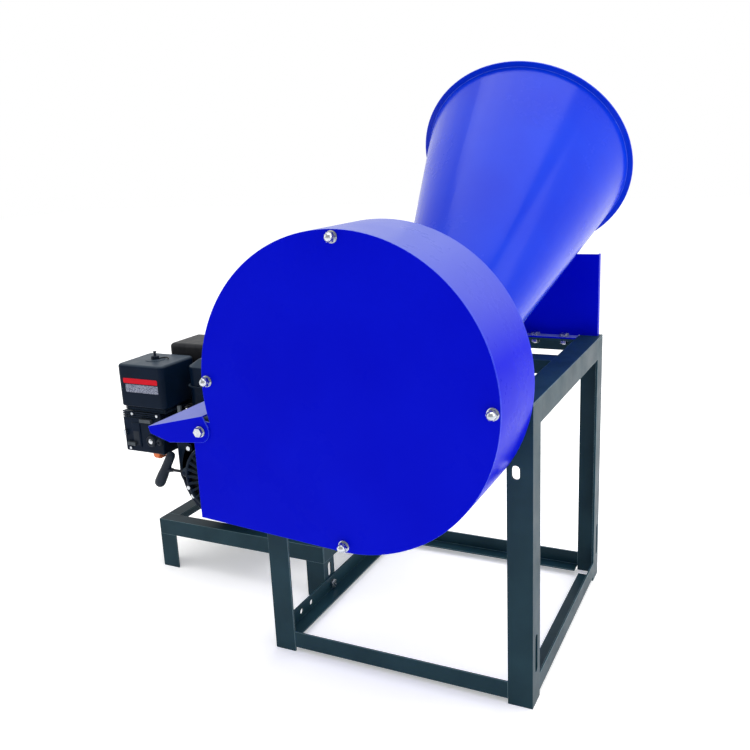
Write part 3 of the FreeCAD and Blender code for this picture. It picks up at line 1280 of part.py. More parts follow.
def check_document():
    """Stop if any object failed to compute, or any sub-part isn't a valid solid."""
    doc.recompute()
    faults = [item.Name for item in doc.Objects if {"Invalid", "Error"} & set(item.State)]
    for item in PIECES:
        shape = item.Shape
        if shape.isNull() or not shape.isValid() or not shape.Solids:
            faults.append(item.Label)
    if faults:
        raise SystemExit("failed: " + ", ".join(sorted(set(faults))))


def write_parts():
    """Write each sub-part to its own file and say how large it is."""
    os.makedirs("parts", exist_ok=True)
    for item in PIECES:
        item.Shape.exportStep(f"parts/{item.Label}.step")
        size = item.Shape.BoundBox
        print(f"{item.Label}: {len(item.Shape.Solids)} solid(s), "
              f"{size.XLength:.1f} x {size.YLength:.1f} x {size.ZLength:.1f} mm")


fill_sheet()
add_places()
main_frame()
engine_shelf()
drum()
discharge_flap()
feed_cone()
guard_plate()
rotor()
bearings()
belt_drive()
machine_bolts()
engine_block()
engine_front()
engine_top()
check_document()
write_parts()
print(len(PIECES), "sub-parts")
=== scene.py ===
"""Looks of a small hammer mill: sheet-steel drum and feed cone, angle-iron stand and petrol engine."""
import json
import logging
import math
from dataclasses import dataclass
from enum import Enum
from typing import Iterable, Optional, Sequence

import bmesh
import bpy
from mathutils import Matrix, Vector


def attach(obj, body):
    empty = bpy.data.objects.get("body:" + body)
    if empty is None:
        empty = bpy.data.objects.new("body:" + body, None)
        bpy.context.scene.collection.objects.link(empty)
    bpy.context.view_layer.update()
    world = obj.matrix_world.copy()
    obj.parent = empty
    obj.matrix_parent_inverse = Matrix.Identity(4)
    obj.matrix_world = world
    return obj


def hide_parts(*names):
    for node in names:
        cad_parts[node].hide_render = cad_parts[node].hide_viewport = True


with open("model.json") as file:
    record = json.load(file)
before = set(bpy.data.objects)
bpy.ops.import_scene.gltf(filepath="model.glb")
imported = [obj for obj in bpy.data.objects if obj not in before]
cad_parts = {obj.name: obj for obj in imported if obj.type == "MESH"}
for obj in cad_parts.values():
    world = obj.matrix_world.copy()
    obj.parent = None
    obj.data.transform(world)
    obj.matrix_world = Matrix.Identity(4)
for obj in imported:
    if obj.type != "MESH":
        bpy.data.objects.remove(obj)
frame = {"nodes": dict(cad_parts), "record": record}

logging.basicConfig(level=logging.INFO, format="%(message)s")
log = logging.getLogger("hammer_mill")

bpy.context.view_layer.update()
MM = 0.001
STAND = "mill_frame"
SHARP = math.radians(32)
# Least cosine between a face's normal and a direction for the face to look that way.
FACING = 0.98
# New pieces are drawn in millimetres about the point on the floor under the rotor's axis, in the plane
# of the main legs' front faces; this is where that point lies in the scene.
ROTOR_FOOT = Vector((0.226, -0.178, 0.0))


class Axis(Enum):
    """Direction that a turned piece's own +Z is laid along."""

    X = Matrix.Rotation(math.pi / 2, 4, "Y")
    Y = Matrix.Rotation(-math.pi / 2, 4, "X")
    Z = Matrix.Identity(4)
    FRONT = Matrix.Rotation(math.pi / 2, 4, "X")


# ---------------------------------------------------------------- finishes


def linear(code: str) -> tuple[float, float, float, float]:
    """Turn an sRGB hex code into linear colour.

    Args:
        code: Six hex digits, red first.

    Returns:
        Linear red, green and blue with an alpha of 1.
    """
    channels = [int(code[place:place + 2], 16) / 255 for place in (0, 2, 4)]
    return (*[c / 12.92 if c <= 0.04045 else ((c + 0.055) / 1.055) ** 2.4 for c in channels], 1.0)


def add_node(tree: bpy.types.NodeTree, kind: str, values: Optional[dict] = None,
             links: Optional[dict] = None, **settings: object) -> bpy.types.Node:
    """Add a shader node with its settings, socket values and links.

    Args:
        tree: Node tree that gets the node.
        kind: Blender's name for the node type.
        values: Default values by input name or number.
        links: Output sockets to join, by input name or number.
        settings: Plain attributes of the node.

    Returns:
        The new node.
    """
    node = tree.nodes.new(kind)
    for name, setting in settings.items():
        setattr(node, name, setting)
    for name, number in (values or {}).items():
        node.inputs[name].default_value = number
    for name, socket in (links or {}).items():
        tree.links.new(socket, node.inputs[name])
    return node


@dataclass(frozen=True)
class Finish:
    """A surface with patches of two near colours and a fine grain that catches the light."""

    name: str
    colour: str
    second: str
    roughness: float
    spread: float = 0.06
    metallic: float = 0.0
    specular: float = 0.5
    coat: float = 0.0
    patch_mm: float = 60.0
    grain_mm: float = 1.5
    grain_depth_mm: float = 0.02
    stretch: tuple[float, float, float] = (1.0, 1.0, 1.0)
    # Colour and share of a painted reflection laid over faces that look up.
    sky_sheen_colour: str = "8A94B8"
    sky_sheen_share: float = 0.0

    def place(self, tree: bpy.types.NodeTree) -> bpy.types.NodeSocket:
        """Object coordinates, squeezed where the pattern runs along the piece."""
        spot = add_node(tree, "ShaderNodeTexCoord")
        laid = add_node(tree, "ShaderNodeMapping", {"Scale": self.stretch},
                        {"Vector": spot.outputs["Object"]})
        return laid.outputs["Vector"]

    def build(self) -> bpy.types.Material:
        """Make the material.

        Returns:
            A node material named for the finish.
        """
        known = bpy.data.materials.get(self.name)
        if known is not None:
            return known
        material = bpy.data.materials.new(self.name)
        material.use_nodes = True
        tree = material.node_tree
        shader = tree.nodes["Principled BSDF"]
        where = self.place(tree)
        colour = self.tint(tree, where)
        # Faces that look up are paled towards a set colour: a painted reflection of the light above.
        if self.sky_sheen_share > 0:
            colour = self.painted_sky_sheen(tree, colour)
        tree.links.new(colour, shader.inputs["Base Color"])
        tree.links.new(self.gloss(tree, where), shader.inputs["Roughness"])
        tree.links.new(self.relief(tree, where), shader.inputs["Normal"])
        shader.inputs["Metallic"].default_value = self.metallic
        if self.metallic < 0.5:
            shader.inputs["Specular IOR Level"].default_value = self.specular
        shader.inputs["Coat Weight"].default_value = self.coat
        shader.inputs["Coat Roughness"].default_value = 0.12
        return material

    def tint(self, tree: bpy.types.NodeTree, where: bpy.types.NodeSocket) -> bpy.types.NodeSocket:
        """Colour that drifts between the finish's two colours."""
        cloud = add_node(tree, "ShaderNodeTexNoise", {"Scale": 1000 / self.patch_mm, "Detail": 4.0},
                         {"Vector": where})
        ramp = add_node(tree, "ShaderNodeValToRGB", links={"Fac": cloud.outputs["Fac"]})
        ramp.color_ramp.elements[0].position = 0.35
        ramp.color_ramp.elements[1].position = 0.68
        ramp.color_ramp.elements[0].color = linear(self.colour)
        ramp.color_ramp.elements[1].color = linear(self.second)
        return ramp.outputs["Color"]

    def painted_sky_sheen(self, tree: bpy.types.NodeTree, colour: bpy.types.NodeSocket) -> bpy.types.NodeSocket:
        """Colour paled towards a grey-lilac on the faces that look up, a painted reflection of the bright
        light above.
        """
        spot = add_node(tree, "ShaderNodeTexCoord")
        split = add_node(tree, "ShaderNodeSeparateXYZ", links={"Vector": spot.outputs["Normal"]})
        span = add_node(tree, "ShaderNodeMapRange",
                        {"From Min": 0.25, "From Max": 0.95, "To Min": 0.0, "To Max": self.sky_sheen_share},
                        {"Value": split.outputs["Z"]})
        mix = add_node(tree, "ShaderNodeMix", {7: linear(self.sky_sheen_colour)},
                       {0: span.outputs["Result"], 6: colour}, data_type="RGBA")
        return mix.outputs[2]

    def gloss(self, tree: bpy.types.NodeTree, where: bpy.types.NodeSocket) -> bpy.types.NodeSocket:
        """Roughness with handling marks a little wider than the colour patches."""
        smear = add_node(tree, "ShaderNodeTexNoise", {"Scale": 1000 / (self.patch_mm * 0.6), "Detail": 6.0,
                                                      "Roughness": 0.65}, {"Vector": where})
        span = add_node(tree, "ShaderNodeMapRange", {"From Min": 0.3, "From Max": 0.7,
                                                     "To Min": max(self.roughness - self.spread, 0.03),
                                                     "To Max": self.roughness + self.spread},
                        {"Value": smear.outputs["Fac"]})
        return span.outputs["Result"]

    def relief(self, tree: bpy.types.NodeTree, where: bpy.types.NodeSocket) -> bpy.types.NodeSocket:
        """Bump of the grain, to its real depth."""
        grain = add_node(tree, "ShaderNodeTexNoise", {"Scale": 1000 / self.grain_mm, "Detail": 2.0},
                         {"Vector": where})
        bump = add_node(tree, "ShaderNodeBump", {"Strength": 1.0, "Distance": self.grain_depth_mm * MM},
                        {"Height": grain.outputs["Fac"]})
        return bump.outputs["Normal"]


@dataclass(frozen=True)
class ChippedPaint(Finish):
    """Paint with small chips that show the primer, a few to the hand's breadth."""

    chip: str = "8F97C9"
    chip_mm: float = 9.0
    chip_share: float = 0.035

    def tint(self, tree: bpy.types.NodeTree, where: bpy.types.NodeSocket) -> bpy.types.NodeSocket:
        """The paint's colours with chips laid over them."""
        paint = Finish.tint(self, tree, where)
        flakes = add_node(tree, "ShaderNodeTexNoise", {"Scale": 1000 / self.chip_mm, "Detail": 3.0,
                                                       "Roughness": 0.7}, {"Vector": where})
        cut = add_node(tree, "ShaderNodeMapRange", {"From Min": 0.74 - self.chip_share,
                                                    "From Max": 0.76 - self.chip_share},
                       {"Value": flakes.outputs["Fac"]})
        mix = add_node(tree, "ShaderNodeMix", {7: linear(self.chip)}, {0: cut.outputs["Result"], 6: paint},
                       data_type="RGBA")
        return mix.outputs[2]


@dataclass(frozen=True)
class BraidedRope(Finish):
    """Starter rope: crossing yarns that give a fine lattice of ridges."""

    yarn_mm: float = 1.6

    def relief(self, tree: bpy.types.NodeTree, where: bpy.types.NodeSocket) -> bpy.types.NodeSocket:
        """Two sets of slanting ridges."""
        bump: Optional[bpy.types.NodeSocket] = None
        for slant in (1.0, -1.0):
            turned = add_node(tree, "ShaderNodeMapping", {"Rotation": (0.0, slant * math.radians(40), 0.0)},
                              {"Vector": where})
            ridge = add_node(tree, "ShaderNodeTexWave", {"Scale": 1000 / self.yarn_mm / 20},
                             {"Vector": turned.outputs["Vector"]})
            links = {"Height": ridge.outputs["Fac"]}
            if bump is not None:
                links["Normal"] = bump
            bump = add_node(tree, "ShaderNodeBump", {"Distance": 0.3 * MM}, links).outputs["Normal"]
        return bump


# Sprayed royal blue enamel on rolled sheet: deep even colour, orange-peel skin, wet highlights; its faces
# that look up are paled as a painted reflection of the sky.
BLUE = Finish("sprayed_blue_enamel", "020ABE", "030EC4", 0.30, specular=0.02, patch_mm=160, grain_mm=2.5,
              grain_depth_mm=0.02, sky_sheen_share=0.6)
# The same enamel on the cone, a little glossier and lighter.
BLUE_CONE = Finish("sprayed_blue_enamel_cone", "012CC4", "0234CC", 0.24, specular=0.12, coat=0.12,
                   patch_mm=160, grain_mm=2.5, grain_depth_mm=0.02)
# The same enamel on the rounded edges: paler as a painted highlight along them, with flakes of primer where
# it gets knocked.
BLUE_EDGE_HIGHLIGHT_AND_WEAR = ChippedPaint("blue_enamel_edge_painted_highlight_and_wear", "2A48D8", "4A68E0", 0.35, specular=0.3, patch_mm=12,
                         grain_depth_mm=0.03)
# Satin slate green paint on hot-rolled angle: slight mill texture under the paint.
SLATE = Finish("satin_slate_green_paint", "16303A", "1E3A44", 0.38, specular=0.1, patch_mm=90,
               grain_mm=3.0, grain_depth_mm=0.035)
# Paler green on the rounded edges of the angle iron as a painted highlight, with chips where the paint is
# knocked.
SLATE_EDGE_HIGHLIGHT_AND_WEAR = ChippedPaint("slate_green_edge_painted_highlight_and_wear", "3C5A62", "50707A", 0.4, patch_mm=14, chip="9AA5A8")
# Pressed steel and moulded covers of the engine: semi-gloss blue-black stove enamel, with its faces that look
# up greyed as a painted reflection of the light above.
ENGINE_BLACK = Finish("black_stove_enamel", "061424", "09192C", 0.36, specular=0.06, sky_sheen_colour="4E5A64",
                      sky_sheen_share=0.5, patch_mm=50,
                      grain_mm=1.8, grain_depth_mm=0.02)
# Die-cast aluminium under black paint: pebbly skin.
CASTING = Finish("painted_die_casting", "0E1826", "182330", 0.5, specular=0.2, patch_mm=25, grain_mm=1.2,
                 grain_depth_mm=0.06)
# Moulded polypropylene: fine matt grain.
PLASTIC = Finish("moulded_black_plastic", "0C1826", "13202E", 0.46, specular=0.2, patch_mm=30, grain_mm=0.9,
                 grain_depth_mm=0.03)
# Bright zinc plate on fasteners: pale metal with soft streaks.
ZINC = Finish("bright_zinc_plate", "C9CCD0", "AEB4BC", 0.24, metallic=1.0, patch_mm=8, grain_mm=0.8,
              grain_depth_mm=0.01)
# Turned and ground steel: fine rings across the axis.
STEEL = Finish("ground_steel", "9DA0A4", "7E8288", 0.30, metallic=1.0, patch_mm=20, grain_mm=1.0,
               grain_depth_mm=0.012, stretch=(1.0, 6.0, 1.0))
# Perforated mill steel of the screen and hammers: darker scale with rubbed spots.
SCALE = Finish("mill_scale_steel", "4A4B4E", "6B6A68", 0.45, metallic=1.0, patch_mm=18, grain_mm=1.5,
               grain_depth_mm=0.03)
# Grey cast iron of the pillow blocks and pulleys: sandy skin.
IRON = Finish("grey_cast_iron", "3B4248", "4A5157", 0.55, metallic=0.6, patch_mm=15, grain_mm=1.0,
              grain_depth_mm=0.08)
RUBBER = Finish("wrapped_belt_rubber", "141414", "1D1C1B", 0.75, patch_mm=10, grain_mm=0.8,
                grain_depth_mm=0.05)
BRASS = Finish("plated_copper_bowl", "C0704A", "B8603C", 0.40, metallic=1.0, patch_mm=8, grain_mm=0.8,
               grain_depth_mm=0.01)
ROPE = BraidedRope("braided_starter_rope", "14161C", "20242C", 0.8, patch_mm=4)
RED_LABEL = Finish("red_printed_label", "C4001A", "CC0420", 0.35, specular=0.1, patch_mm=20,
                   grain_depth_mm=0.005)
GREY_LABEL = Finish("grey_printed_label", "39415A", "A3A8B8", 0.45, specular=0.2, patch_mm=2.2,
                    grain_depth_mm=0.005)
SOOT = Finish("heat_dulled_steel", "171A20", "2A2B2E", 0.5, metallic=0.6, patch_mm=20, grain_mm=1.5,
              grain_depth_mm=0.03)


# ---------------------------------------------------------------- shaping


def add_block(bm: bmesh.types.BMesh, low: Sequence[float], high: Sequence[float], radius: float = 0.0,
              along: str = "XYZ", segments: int = 4, paint: int = 0) -> list[bmesh.types.BMVert]:
    """Add a block between two corners, with its edges rounded over.

    Args:
        bm: Mesh that gets the block.
        low: Lowest corner.
        high: Highest corner.
        radius: Rounding of the edges, or 0 for sharp ones.
        along: Axes whose parallel edges are rounded.
        segments: Facets across the rounding.
        paint: Material slot of the block's faces.

    Returns:
        The block's vertices.
    """
    before = set(bm.verts)
    size = Vector(high) - Vector(low)
    middle = (Vector(high) + Vector(low)) / 2
    place = Matrix.Translation(middle) @ Matrix.Diagonal((*size, 1.0))
    corners = bmesh.ops.create_cube(bm, size=1.0, matrix=place)["verts"]
    if radius > 0:
        runs = {edge for corner in corners for edge in corner.link_edges}
        chosen = [edge for edge in runs if "XYZ"[axis_of(edge)] in along]
        bmesh.ops.bevel(bm, geom=chosen, offset=radius, offset_type="OFFSET", affect="EDGES",
                        segments=segments, profile=0.5, material=-1, clamp_overlap=True)
    added = [vert for vert in bm.verts if vert not in before]
    paint_faces(added, paint)
    return added


def axis_of(edge: bmesh.types.BMEdge) -> int:
    """Number of the axis that an edge runs along most."""
    run = edge.verts[1].co - edge.verts[0].co
    return max(range(3), key=lambda side: abs(run[side]))


def soften_rim(bm: bmesh.types.BMesh, verts: Iterable[bmesh.types.BMVert], looks: Vector,
               width: float) -> None:
    """Round over the outline of the faces of some vertices that look one way.

    Args:
        bm: Mesh that holds them.
        verts: Vertices of the shape.
        looks: Direction that the faces look in.
        width: Width of the rounding.
    """
    bm.normal_update()
    faces = [face for face in {face for vert in verts for face in vert.link_faces}
             if face.normal.dot(looks) > FACING]
    outline = [edge for edge in {edge for face in faces for edge in face.edges}
               if sum(face in faces for face in edge.link_faces) == 1]
    bmesh.ops.bevel(bm, geom=outline, offset=width, offset_type="OFFSET", affect="EDGES", segments=4,
                    profile=0.5, material=-1, clamp_overlap=True)


def paint_faces(verts: Iterable[bmesh.types.BMVert], paint: int) -> None:
    """Give every face of some vertices a material slot."""
    for face in {face for vert in verts for face in vert.link_faces}:
        face.material_index = paint


def add_wire(bm: bmesh.types.BMesh, points: Sequence[Sequence[float]], radii: Sequence[float],
             sides: int = 10, paint: int = 0) -> list[bmesh.types.BMVert]:
    """Add a round bar along a path, closed at both ends.

    Args:
        bm: Mesh that gets the bar.
        points: Places on the path.
        radii: Radius at each place, or one radius for all.
        sides: Facets round the bar.
        paint: Material slot of the bar's faces.

    Returns:
        The bar's vertices.
    """
    before = set(bm.verts)
    path = [Vector(point) for point in points]
    rings = []
    for index, point in enumerate(path):
        ahead = path[min(index + 1, len(path) - 1)] - path[max(index - 1, 0)]
        turn = ahead.to_track_quat("Z", "Y").to_matrix().to_4x4()
        ring = bmesh.ops.create_circle(bm, cap_ends=False, radius=radii[min(index, len(radii) - 1)],
                                       segments=sides, matrix=Matrix.Translation(point) @ turn)["verts"]
        rings.append(list({edge for vert in ring for edge in vert.link_edges}))
    for near, far in zip(rings, rings[1:]):
        bmesh.ops.bridge_loops(bm, edges=near + far)
    for end in (rings[0], rings[-1]):
        bmesh.ops.edgeloop_fill(bm, edges=end)
    added = [vert for vert in bm.verts if vert not in before]
    paint_faces(added, paint)
    return added


def add_turned(bm: bmesh.types.BMesh, profile: Iterable[tuple[float, float]], centre: Sequence[float],
               axis: Axis, steps: int = 48, paint: int = 0) -> list[bmesh.types.BMVert]:
    """Spin a profile of (radius, distance) about an axis.

    Args:
        bm: Mesh that gets the turned shape.
        profile: Radii and distances along the axis.
        centre: Where distance 0 lies.
        axis: Direction of the axis.
        steps: Facets round the axis.
        paint: Material slot of the faces.

    Returns:
        The vertices that were added.
    """
    before = set(bm.verts)
    row = [bm.verts.new((radius, 0.0, height)) for radius, height in profile]
    chain = [bm.edges.new(pair) for pair in zip(row, row[1:])]
    bmesh.ops.spin(bm, geom=row + chain, cent=(0, 0, 0), axis=(0, 0, 1), angle=math.tau, steps=steps,
                   use_merge=True)
    added = [vert for vert in bm.verts if vert not in before]
    bmesh.ops.remove_doubles(bm, verts=added, dist=1e-6)
    added = [vert for vert in bm.verts if vert not in before]
    bmesh.ops.transform(bm, matrix=Matrix.Translation(Vector(centre)) @ axis.value, verts=added)
    paint_faces(added, paint)
    return added


def add_hexagon(bm: bmesh.types.BMesh, flats: float, height: float, centre: Sequence[float],
                axis: Axis, paint: int = 0) -> list[bmesh.types.BMVert]:
    """Add a hexagonal prism that starts at a centre and grows along an axis."""
    radius = flats / math.sqrt(3)
    made = bmesh.ops.create_cone(bm, cap_ends=True, segments=6, radius1=radius, radius2=radius, depth=height)
    place = Matrix.Translation(Vector(centre)) @ axis.value @ Matrix.Translation((0, 0, height / 2))
    bmesh.ops.transform(bm, matrix=place, verts=made["verts"])
    paint_faces(made["verts"], paint)
    return made["verts"]


def settle(bm: bmesh.types.BMesh) -> None:
    """Move a mesh drawn in millimetres about the rotor's foot to its place in the scene, in metres."""
    bmesh.ops.transform(bm, matrix=Matrix.Translation(ROTOR_FOOT) @ Matrix.Scale(MM, 4), verts=bm.verts)


def soften(bm: bmesh.types.BMesh, width: float, segments: int = 2, angle: float = SHARP,
           edge_slot: int = -1) -> None:
    """Bevel every edge that turns by more than an angle.

    Args:
        bm: Mesh to soften.
        width: Bevel width in metres.
        segments: Facets across the bevel.
        angle: Least turn that counts as an edge.
        edge_slot: Material slot of the new faces, or -1 to keep the neighbours'.
    """
    edges = [edge for edge in bm.edges if len(edge.link_faces) == 2 and edge.calc_face_angle(0.0) > angle]
    bmesh.ops.bevel(bm, geom=edges, offset=width, offset_type="OFFSET", affect="EDGES", segments=segments,
                    profile=0.5, material=edge_slot, clamp_overlap=True)


def finish_piece(name: str, bm: bmesh.types.BMesh, finishes: Sequence[Finish], body: str,
                 replaces: Sequence[str] = (), recalculate: bool = True) -> bpy.types.Object:
    """Turn a bmesh into a piece of the object, dressed and riding on its body.

    Args:
        name: Piece name.
        bm: Finished mesh; it is freed.
        finishes: Finish of each material slot.
        body: Body that the piece rides on.
        replaces: CAD nodes that the piece stands for.
        recalculate: Whether normals are worked out again.

    Returns:
        The new object.
    """
    if recalculate:
        bmesh.ops.recalc_face_normals(bm, faces=bm.faces)
    for face in bm.faces:
        face.smooth = True
    for edge in bm.edges:
        edge.smooth = not (len(edge.link_faces) == 2 and edge.calc_face_angle(0.0) > SHARP)
    mesh = bpy.data.meshes.new(name)
    bm.to_mesh(mesh)
    bm.free()
    for finish in finishes:
        mesh.materials.append(finish.build())
    piece = bpy.data.objects.new(name, mesh)
    bpy.context.scene.collection.objects.link(piece)
    even = piece.modifiers.new("flat_faces_shade_flat", "WEIGHTED_NORMAL")
    even.keep_sharp = True
    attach(piece, body)
    if replaces:
        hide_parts(*replaces)
    log.info("%s: %d faces", name, len(mesh.polygons))
    return piece


def body_of_node(node: str) -> str:
    """Name of the body that a CAD node rides on."""
    return next(name for name, members in frame["record"]["behaviour"]["bodies"].items() if node in members)


def merged_copy(node: str) -> bmesh.types.BMesh:
    """Copy a CAD node's mesh with its doubles merged and its flat faces joined."""
    bm = bmesh.new()
    bm.from_mesh(frame["nodes"][node].data)
    bmesh.ops.remove_doubles(bm, verts=bm.verts, dist=2e-6)
    bmesh.ops.dissolve_limit(bm, angle_limit=math.radians(0.4), verts=bm.verts, edges=bm.edges)
    return bm


def refine(node: str, finishes: Sequence[Finish], width: float, segments: int = 2,
           angle: float = SHARP) -> bpy.types.Object:
    """Stand a softened copy in for a CAD node: same shape, with its sharp edges rounded over.

    Args:
        node: CAD node to copy.
        finishes: Face finish, and edge finish if the edges differ.
        width: Width of the rounding in metres.
        segments: Facets across the rounding.
        angle: Least turn that counts as an edge.

    Returns:
        The new object.
    """
    bm = merged_copy(node)
    for face in bm.faces:
        face.material_index = 0
    soften(bm, width, segments, angle, 1 if len(finishes) > 1 else -1)
    return finish_piece(f"{node}_finished", bm, finishes, body_of_node(node), [node],
                        False)


def dress(node: str, finish: Finish) -> None:
    """Give a CAD node that stays as it is its material."""
    shown = frame["nodes"][node]
    shown.data.materials.clear()
    shown.data.materials.append(finish.build())
    log.info("%s: %s", node, finish.name)


# ---------------------------------------------------------------- sub-assemblies


@dataclass
class Stand:
    """Welded angle-iron frame and engine shelf."""

    edge_width: float = 0.6 * MM
    members: tuple[str, ...] = (
        "front_left_leg", "front_right_leg", "rear_left_leg", "rear_right_leg",
        "front_bottom_rail", "rear_bottom_rail", "left_bottom_rail", "right_bottom_rail",
        "left_top_rail", "right_top_rail", "front_top_rail", "rear_top_rail", "bearing_rail",
        "shelf_front_rail", "shelf_rear_rail", "shelf_end_rails", "shelf_legs", "engine_bars",
    )

    def build(self) -> None:
        """Round and paint each member."""
        for node in self.members:
            refine(node, [SLATE, SLATE_EDGE_HIGHLIGHT_AND_WEAR], self.edge_width)


@dataclass
class Mill:
    """Drum, cover, flap, feed cone, plates and the parts inside."""

    sheet_edge: float = 0.5 * MM
    sheets: tuple[str, ...] = (
        "drum_back_wall", "drum_rim", "front_cover", "discharge_flap", "guard_plate", "belt_guard",
    )

    def build(self) -> None:
        """Build the mill's pieces in order."""
        for node in self.sheets:
            refine(node, [BLUE, BLUE_EDGE_HIGHLIGHT_AND_WEAR], self.sheet_edge)
        refine("feed_cone", [BLUE_CONE, BLUE_EDGE_HIGHLIGHT_AND_WEAR], self.sheet_edge)
        for node in ("rotor_shaft", "rotor_discs", "hammer_pins", "hammers_1", "hammers_2", "hammers_3",
                     "hammers_4"):
            refine(node, [STEEL], 0.5 * MM)
        dress("screen", SCALE)
        for node in ("front_bearing", "rear_bearing", "mill_pulley"):
            refine(node, [IRON], 1.2 * MM)
        dress("drive_belts", RUBBER)
        for node in ("cover_fasteners", "flap_pivots", "machine_bolts"):
            refine(node, [ZINC], 0.5 * MM)


@dataclass
class AirCleaner:
    """Boxed filter on top of the carburettor, with its wing stud, wire clip and printed label."""

    left: float = -720.0
    right: float = -601.0
    front: float = 190.0
    back: float = 300.0
    floor: float = 340.0
    top: float = 444.0
    skirt: float = 13.0
    skirt_inset: float = 7.0
    corner: float = 11.0
    label_left: float = -705.0
    label_right: float = -615.0
    bar_low: float = 404.0
    bar_high: float = 415.0
    print_low: float = 385.0
    label_wall: float = 0.5
    lid_soft: float = 6.0

    def build(self) -> None:
        """Build the box, its label, the stud and the clip."""
        self.box()
        self.label()
        self.stud()

    def box(self) -> None:
        """Deep lid over a smaller tray, with a shallow boss under the stud."""
        bm = bmesh.new()
        inset = self.skirt_inset
        add_block(bm, (self.left + inset, self.front + inset, self.floor),
                  (self.right - inset, self.back - inset, self.floor + self.skirt + 2), 7.0, segments=3)
        lid = add_block(bm, (self.left, self.front, self.floor + self.skirt),
                        (self.right, self.back, self.top), self.corner, "Z", 6)
        soften_rim(bm, lid, Vector((0, 0, 1)), self.lid_soft)
        soften_rim(bm, [vert for vert in bm.verts if abs(vert.co.z - self.floor - self.skirt) < 0.01],
                   Vector((0, 0, -1)), self.lid_soft / 2)
        middle = ((self.left + self.right) / 2, (self.front + self.back) / 2, self.top)
        add_turned(bm, [(0, -1), (21, -1), (21, 0.6), (19, 1.2), (0, 1.2)], middle, Axis.Z)
        for step in range(3):
            height = self.floor + 2.5 + 3.2 * step
            add_block(bm, (self.left + inset - 1, self.front + inset - 1, height),
                      (self.right - inset + 1, self.back - inset + 1, height + 1.4), 0.5, segments=1)
        settle(bm)
        finish_piece("air_cleaner_box", bm, [ENGINE_BLACK], STAND, ["air_cleaner"])

    def label(self) -> None:
        """Red bar over a strip of grey print, both without words."""
        bm = bmesh.new()
        face = self.front - self.label_wall
        add_block(bm, (self.label_left, face, self.bar_low),
                  (self.label_right, self.front + 0.2, self.bar_high), 3.0, "Y")
        settle(bm)
        finish_piece("cleaner_label_bar", bm, [RED_LABEL], STAND)
        bm = bmesh.new()
        add_block(bm, (self.label_left + 5, face, self.print_low),
                  (self.label_right, self.front + 0.2, self.bar_low - 2), 1.0, "Y")
        settle(bm)
        finish_piece("cleaner_label_print", bm, [GREY_LABEL], STAND)

    def stud(self) -> None:
        """Knurled nut with a thin stem, and the bent wire clip beside it."""
        x, y = (self.left + self.right) / 2, (self.front + self.back) / 2
        bm = bmesh.new()
        add_turned(bm, [(0, 0.3), (8, 0.3), (8, 7.5), (7, 8.5), (3, 9), (2.6, 15.2), (3.8, 15.8), (3.8, 17.4),
                        (3, 18), (0, 18)], (x, y, self.top), Axis.Z, 32)
        for step in range(12):
            turn = math.tau * step / 12
            add_wire(bm, [(x + 7.6 * math.cos(turn), y + 7.6 * math.sin(turn), self.top + 1),
                          (x + 7.6 * math.cos(turn), y + 7.6 * math.sin(turn), self.top + 7)], [0.9], 6)
        settle(bm)
        finish_piece("cleaner_nut", bm, [PLASTIC], "cleaner_knob", ["air_cleaner_knob"])
        bm = bmesh.new()
        arc = [(x + 19 - 10 * math.cos(turn), y + 4 + 10 * math.sin(turn), self.top + 2.6)
               for turn in [math.radians(12 * step - 20) for step in range(16)]]
        add_wire(bm, [(arc[0][0], arc[0][1], self.top + 0.5), *arc], [1.3], 8)
        settle(bm)
        finish_piece("cleaner_clip", bm, [SOOT], STAND)


